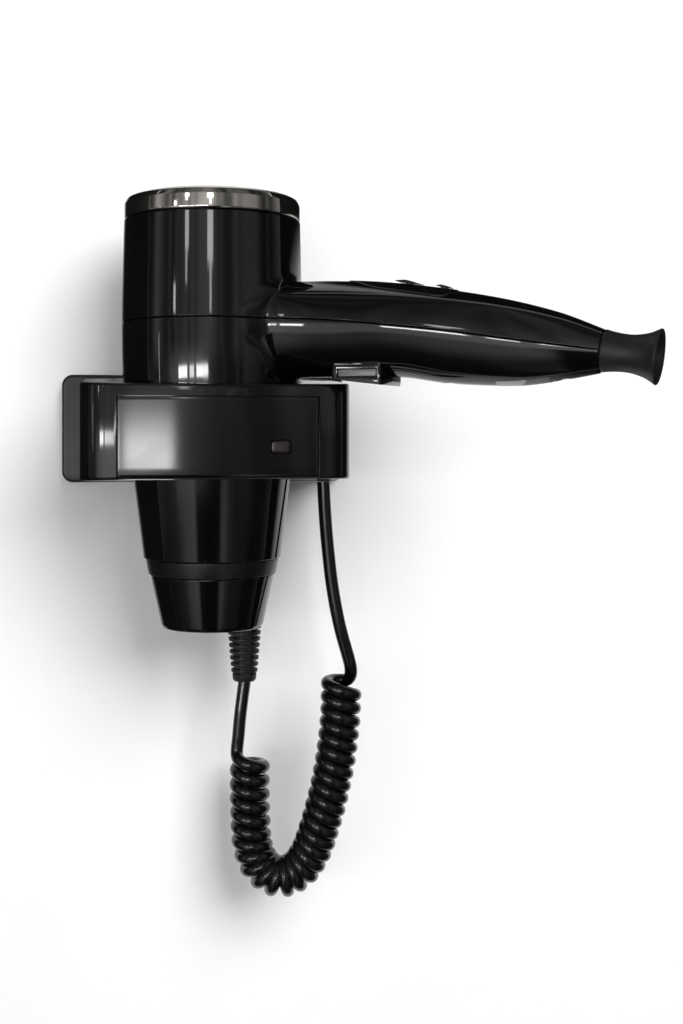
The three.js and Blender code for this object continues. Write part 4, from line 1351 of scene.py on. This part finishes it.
# ------------------------------------------------------------------ wall, floor and light
def backdrop(name, colour, mottle, depth):
    """Matt painted board, seen from its face only."""
    made, tree, shader = blank(name)
    at = place(tree)
    cloud = remap(tree, noise(tree, at, 9, 5.0, 0.6), 0.25, 0.75)
    stipple = noise(tree, at, 420, 3.0)
    body = colour_mix(tree, cloud, colour, tuple(c * mottle for c in colour))
    feed(tree, shader, Base_Color=body, Roughness=remap(tree, stipple, 0, 1, 0.75, 0.95))
    relief(tree, shader, stipple, depth)
    behind = node(tree, "NewGeometry").outputs["Backfacing"]
    clear = node(tree, "BsdfTransparent")
    either = node(tree, "MixShader", {0: behind, 1: shader.outputs[0], 2: clear.outputs[0]})
    tree.links.new(either.outputs[0], tree.nodes["Material Output"].inputs["Surface"])
    return made


def reflection_shade_card():
    """Black card that shows only in reflections, painting dark reflections; it thins out towards the object,
    and on the left and above the grip it comes closer.
    """
    made, tree, shader = blank("reflection_shade_card", Roughness=0.9)
    at = place(tree)
    nap = noise(tree, at, 160, 4.0)
    feed(tree, shader, Base_Color=colour_mix(tree, nap, (0.002, 0.002, 0.002), (0.007, 0.007, 0.007)))
    relief(tree, shader, nap, 0.3)
    xyz = node(tree, "SeparateXYZ", {0: at})
    across = xyz.outputs["X"]
    above = remap(tree, xyz.outputs["Z"], 0.06, 0.11)
    over_grip = times(tree, remap(tree, across, 0.03, 0.06), above)
    cover = math_node(tree, "MAXIMUM", remap(tree, across, 0.115, 0.24), remap(tree, across, -0.035, -0.07))
    cover = math_node(tree, "MAXIMUM", cover, over_grip)
    clear = node(tree, "BsdfTransparent")
    either = node(tree, "MixShader", {0: cover, 1: clear.outputs[0], 2: shader.outputs[0]})
    tree.links.new(either.outputs[0], tree.nodes["Material Output"].inputs["Surface"])
    return made


def flat_board(name, corners, paint, faces=((0, 1, 2, 3),)):
    mesh = bpy.data.meshes.new(name)
    mesh.from_pydata([tuple(c * MM for c in corner) for corner in corners], [], faces)
    board = bpy.data.objects.new(name, mesh)
    board.data.materials.append(paint)
    scene.collection.objects.link(board)
    return board


def upright(x0, x1, y, z0, z1):
    return [(x0, y, z0), (x1, y, z0), (x1, y, z1), (x0, y, z1)]


def add_stage():
    """White wall, pale floor, and dark cards to the sides that only shiny surfaces see, painting dark
    reflections.
    """
    floor_z, wide = -900, 1900
    # The wall is open behind the plate, where only light from the back comes through.
    opening = upright(12 - PLATE["width"] / 2, PLATE["width"] / 2 - 12, 0.4, 8 - PLATE["height"] / 2,
                      PLATE["height"] / 2 - 8)
    around = [(k, (k + 1) % 4, 4 + (k + 1) % 4, 4 + k) for k in range(4)]
    wall = flat_board("back_wall", upright(-wide, wide, 0.4, floor_z, 1700) + opening,
                      backdrop("wall_paint", (0.86, 0.86, 0.86), 0.975, 0.05), around)
    corners = [(-wide, -2600, floor_z), (wide, -2600, floor_z), (wide, 0.4, floor_z), (-wide, 0.4, floor_z)]
    floor = flat_board("floor", corners, backdrop("floor_paint", (0.80, 0.80, 0.79), 0.97, 0.04))
    floor.visible_glossy = False
    # Black cards seen by nothing but reflections: painted dark reflections in the gloss.
    reflection_shade = reflection_shade_card()
    for side, near in (("left", -35), ("right", 30)):
        x0, x1 = sorted((near, math.copysign(1500, near)))
        card = flat_board(f"reflection_shade_card_{side}", upright(x0, x1, -1.5, -700, 800), reflection_shade)
        card.visible_camera = card.visible_diffuse = card.visible_shadow = card.visible_transmission = False
    walls = bpy.data.collections.new("lit_wall")
    walls.objects.link(wall)
    return walls


def add_light(name, place_mm, aim_mm, width, height, brightness, colour=(1, 1, 1), only_on=None):
    """A flat panel of light; brightness is how bright its face looks, a white wall being about 1."""
    data = bpy.data.lights.new(name, "AREA")
    data.shape = "RECTANGLE"
    data.size, data.size_y = width * MM, height * MM
    data.energy = brightness * math.pi * width * height * MM * MM
    data.color = colour
    lamp = bpy.data.objects.new(name, data)
    at, aim = Vector(place_mm) * MM, Vector(aim_mm) * MM
    lamp.location = at
    lamp.rotation_euler = (aim - at).to_track_quat("-Z", "Y").to_euler()
    scene.collection.objects.link(lamp)
    if only_on:
        lamp.light_linking.receiver_collection = only_on
    return lamp


def round_about(azimuth, z, far):
    """A place at a height, seen from the holder at an azimuth (0 straight out from the wall)."""
    a = math.radians(azimuth)
    return far * math.sin(a), -98 - far * math.cos(a), z


# How bright the room looks from the dryer, by azimuth: above eye level, just below it, and near the floor.
ROOM_HIGH = [(-180, 0.5), (-106, 0.5), (-97, 0.10), (-86, 0.08), (-78, 0.7), (-70, 0.32), (-64, 0.12),
             (-59, 0.36), (-55, 0.10), (-50, 0.42), (-44, 0.36), (-38, 0.6), (-33, 0.36), (-29, 0.65),
             (-25, 0.40), (-20, 0.75), (-10, 0.85), (-2, 0.6), (3, 0.30), (8, 0.32), (13, 0.12), (20, 0.18),
             (25, 0.5), (31, 0.3), (38, 0.42), (54, 0.36), (60, 0.12), (66, 0.04), (71, 0.16), (77, 0.05),
             (90, 0.3), (110, 0.5)]
ROOM_LEVEL = [(-180, 0.5), (-110, 0.45), (-98, 0.04), (-92, 0.22), (-75, 0.16), (-62, 0.35), (-56, 1.1),
              (-44, 1.4), (-28, 1.9), (-18, 1.7), (-9, 0.8), (-2, 0.3), (6, 0.16), (11, 0.22), (16, 0.10),
              (24, 0.10), (28, 0.25), (32, 0.06), (38, 0.3), (50, 0.2), (66, 0.05), (82, 0.06), (110, 0.4),
              (180, 0.5)]
ROOM_LOW = [(-180, 0.3), (-104, 0.15), (-90, 0.03), (-72, 0.12), (-60, 0.2), (-46, 0.7), (-38, 0.8),
            (-33, 0.95), (-27, 0.06), (-12, 0.02), (6, 0.03), (11, 0.6), (16, 0.65), (21, 0.3), (30, 0.14),
            (50, 0.10), (60, 0.03), (80, 0.03), (104, 0.2), (180, 0.3)]


def room_band(tree, turn, stops):
    ramp = tree.nodes.new("ShaderNodeValToRGB")
    tree.links.new(turn, ramp.inputs[0])
    band = ramp.color_ramp
    band.interpolation = "LINEAR"
    while len(band.elements) > 1:
        band.elements.remove(band.elements[0])
    band.elements[0].position = 0.0
    band.elements[0].color = (stops[0][1],) * 3 + (1,)
    for degrees, value in stops[1:]:
        band.elements.new((degrees + 180) / 360).color = (value, value, value, 1)
    return ramp.outputs[0]


def add_room_light():
    """Dim studio with grey panels and black gaps between them, plain to the camera itself."""
    world = bpy.data.worlds.new("studio")
    scene.world = world
    world.use_nodes = True
    tree = world.node_tree
    tree.nodes.clear()
    way = node(tree, "TexCoord").outputs["Generated"]
    xyz = node(tree, "SeparateXYZ", {0: way})
    around = math_node(tree, "ARCTAN2", xyz.outputs["X"], times(tree, xyz.outputs["Y"], -1.0))
    turn = node(tree, "MapRange", {"Value": around, "From Min": -math.pi, "From Max": math.pi}).outputs[0]
    up = xyz.outputs["Z"]
    below = colour_mix(tree, remap(tree, up, -0.22, -0.30), room_band(tree, turn, ROOM_LEVEL),
                       room_band(tree, turn, ROOM_LOW))
    walls = colour_mix(tree, remap(tree, up, -0.04, 0.05), below, room_band(tree, turn, ROOM_HIGH))
    ceiling = remap(tree, up, 0.12, 0.8, 1.0, 0.45)
    dimmed = times(tree, ceiling, remap(tree, up, -0.8, -0.4, 0.2, 1.0))
    path = node(tree, "LightPath")
    soft = math_node(tree, "SUBTRACT", 1.0, times(tree, path.outputs["Is Diffuse Ray"], 0.45))
    light = node(tree, "Background", {"Color": walls, "Strength": times(tree, dimmed, soft)})
    plain = node(tree, "Background", {"Color": (0.80, 0.80, 0.80, 1), "Strength": 1.0})
    seen = path.outputs["Is Camera Ray"]
    either = node(tree, "MixShader", {0: seen, 1: light.outputs[0], 2: plain.outputs[0]})
    out = tree.nodes.new("ShaderNodeOutputWorld")
    tree.links.new(either.outputs[0], out.inputs["Surface"])


lit_wall = add_stage()
add_room_light()
add_light("wall_key", (560, -1400, 760), (0, 0, -60), 1100, 1100, 8.8, only_on=lit_wall)
add_light("wall_fill", (-1000, -1500, 300), (0, 0, -60), 900, 1200, 0.5, only_on=lit_wall)
# Each light seen in the gloss: azimuth, height above the holder's middle, width, height and brightness.
PANES = {
    "window_left": (-42, -38, 300, 72, 24), "window_middle": (-30.3, -38, 150, 72, 16),
    "window_right": (-17, -38, 390, 72, 25),
    "tall_slot_top": (-7, 375, 190, 90, 8), "tall_slot_foot": (-6.5, 268, 70, 124, 6),
    "left_slot_top": (-37, 385, 130, 70, 8), "left_slot_foot": (-37.5, 315, 60, 70, 6),
    "far_slot": (-53, 238, 75, 75, 9), "thin_slot": (-75, 20, 26, 220, 5),
}
for name, (azimuth, z, wide, tall, brightness) in PANES.items():
    add_light(name, round_about(azimuth, z, 1500), (0, -98, 0), wide, tall, brightness)

scene.view_settings.view_transform = "Standard"
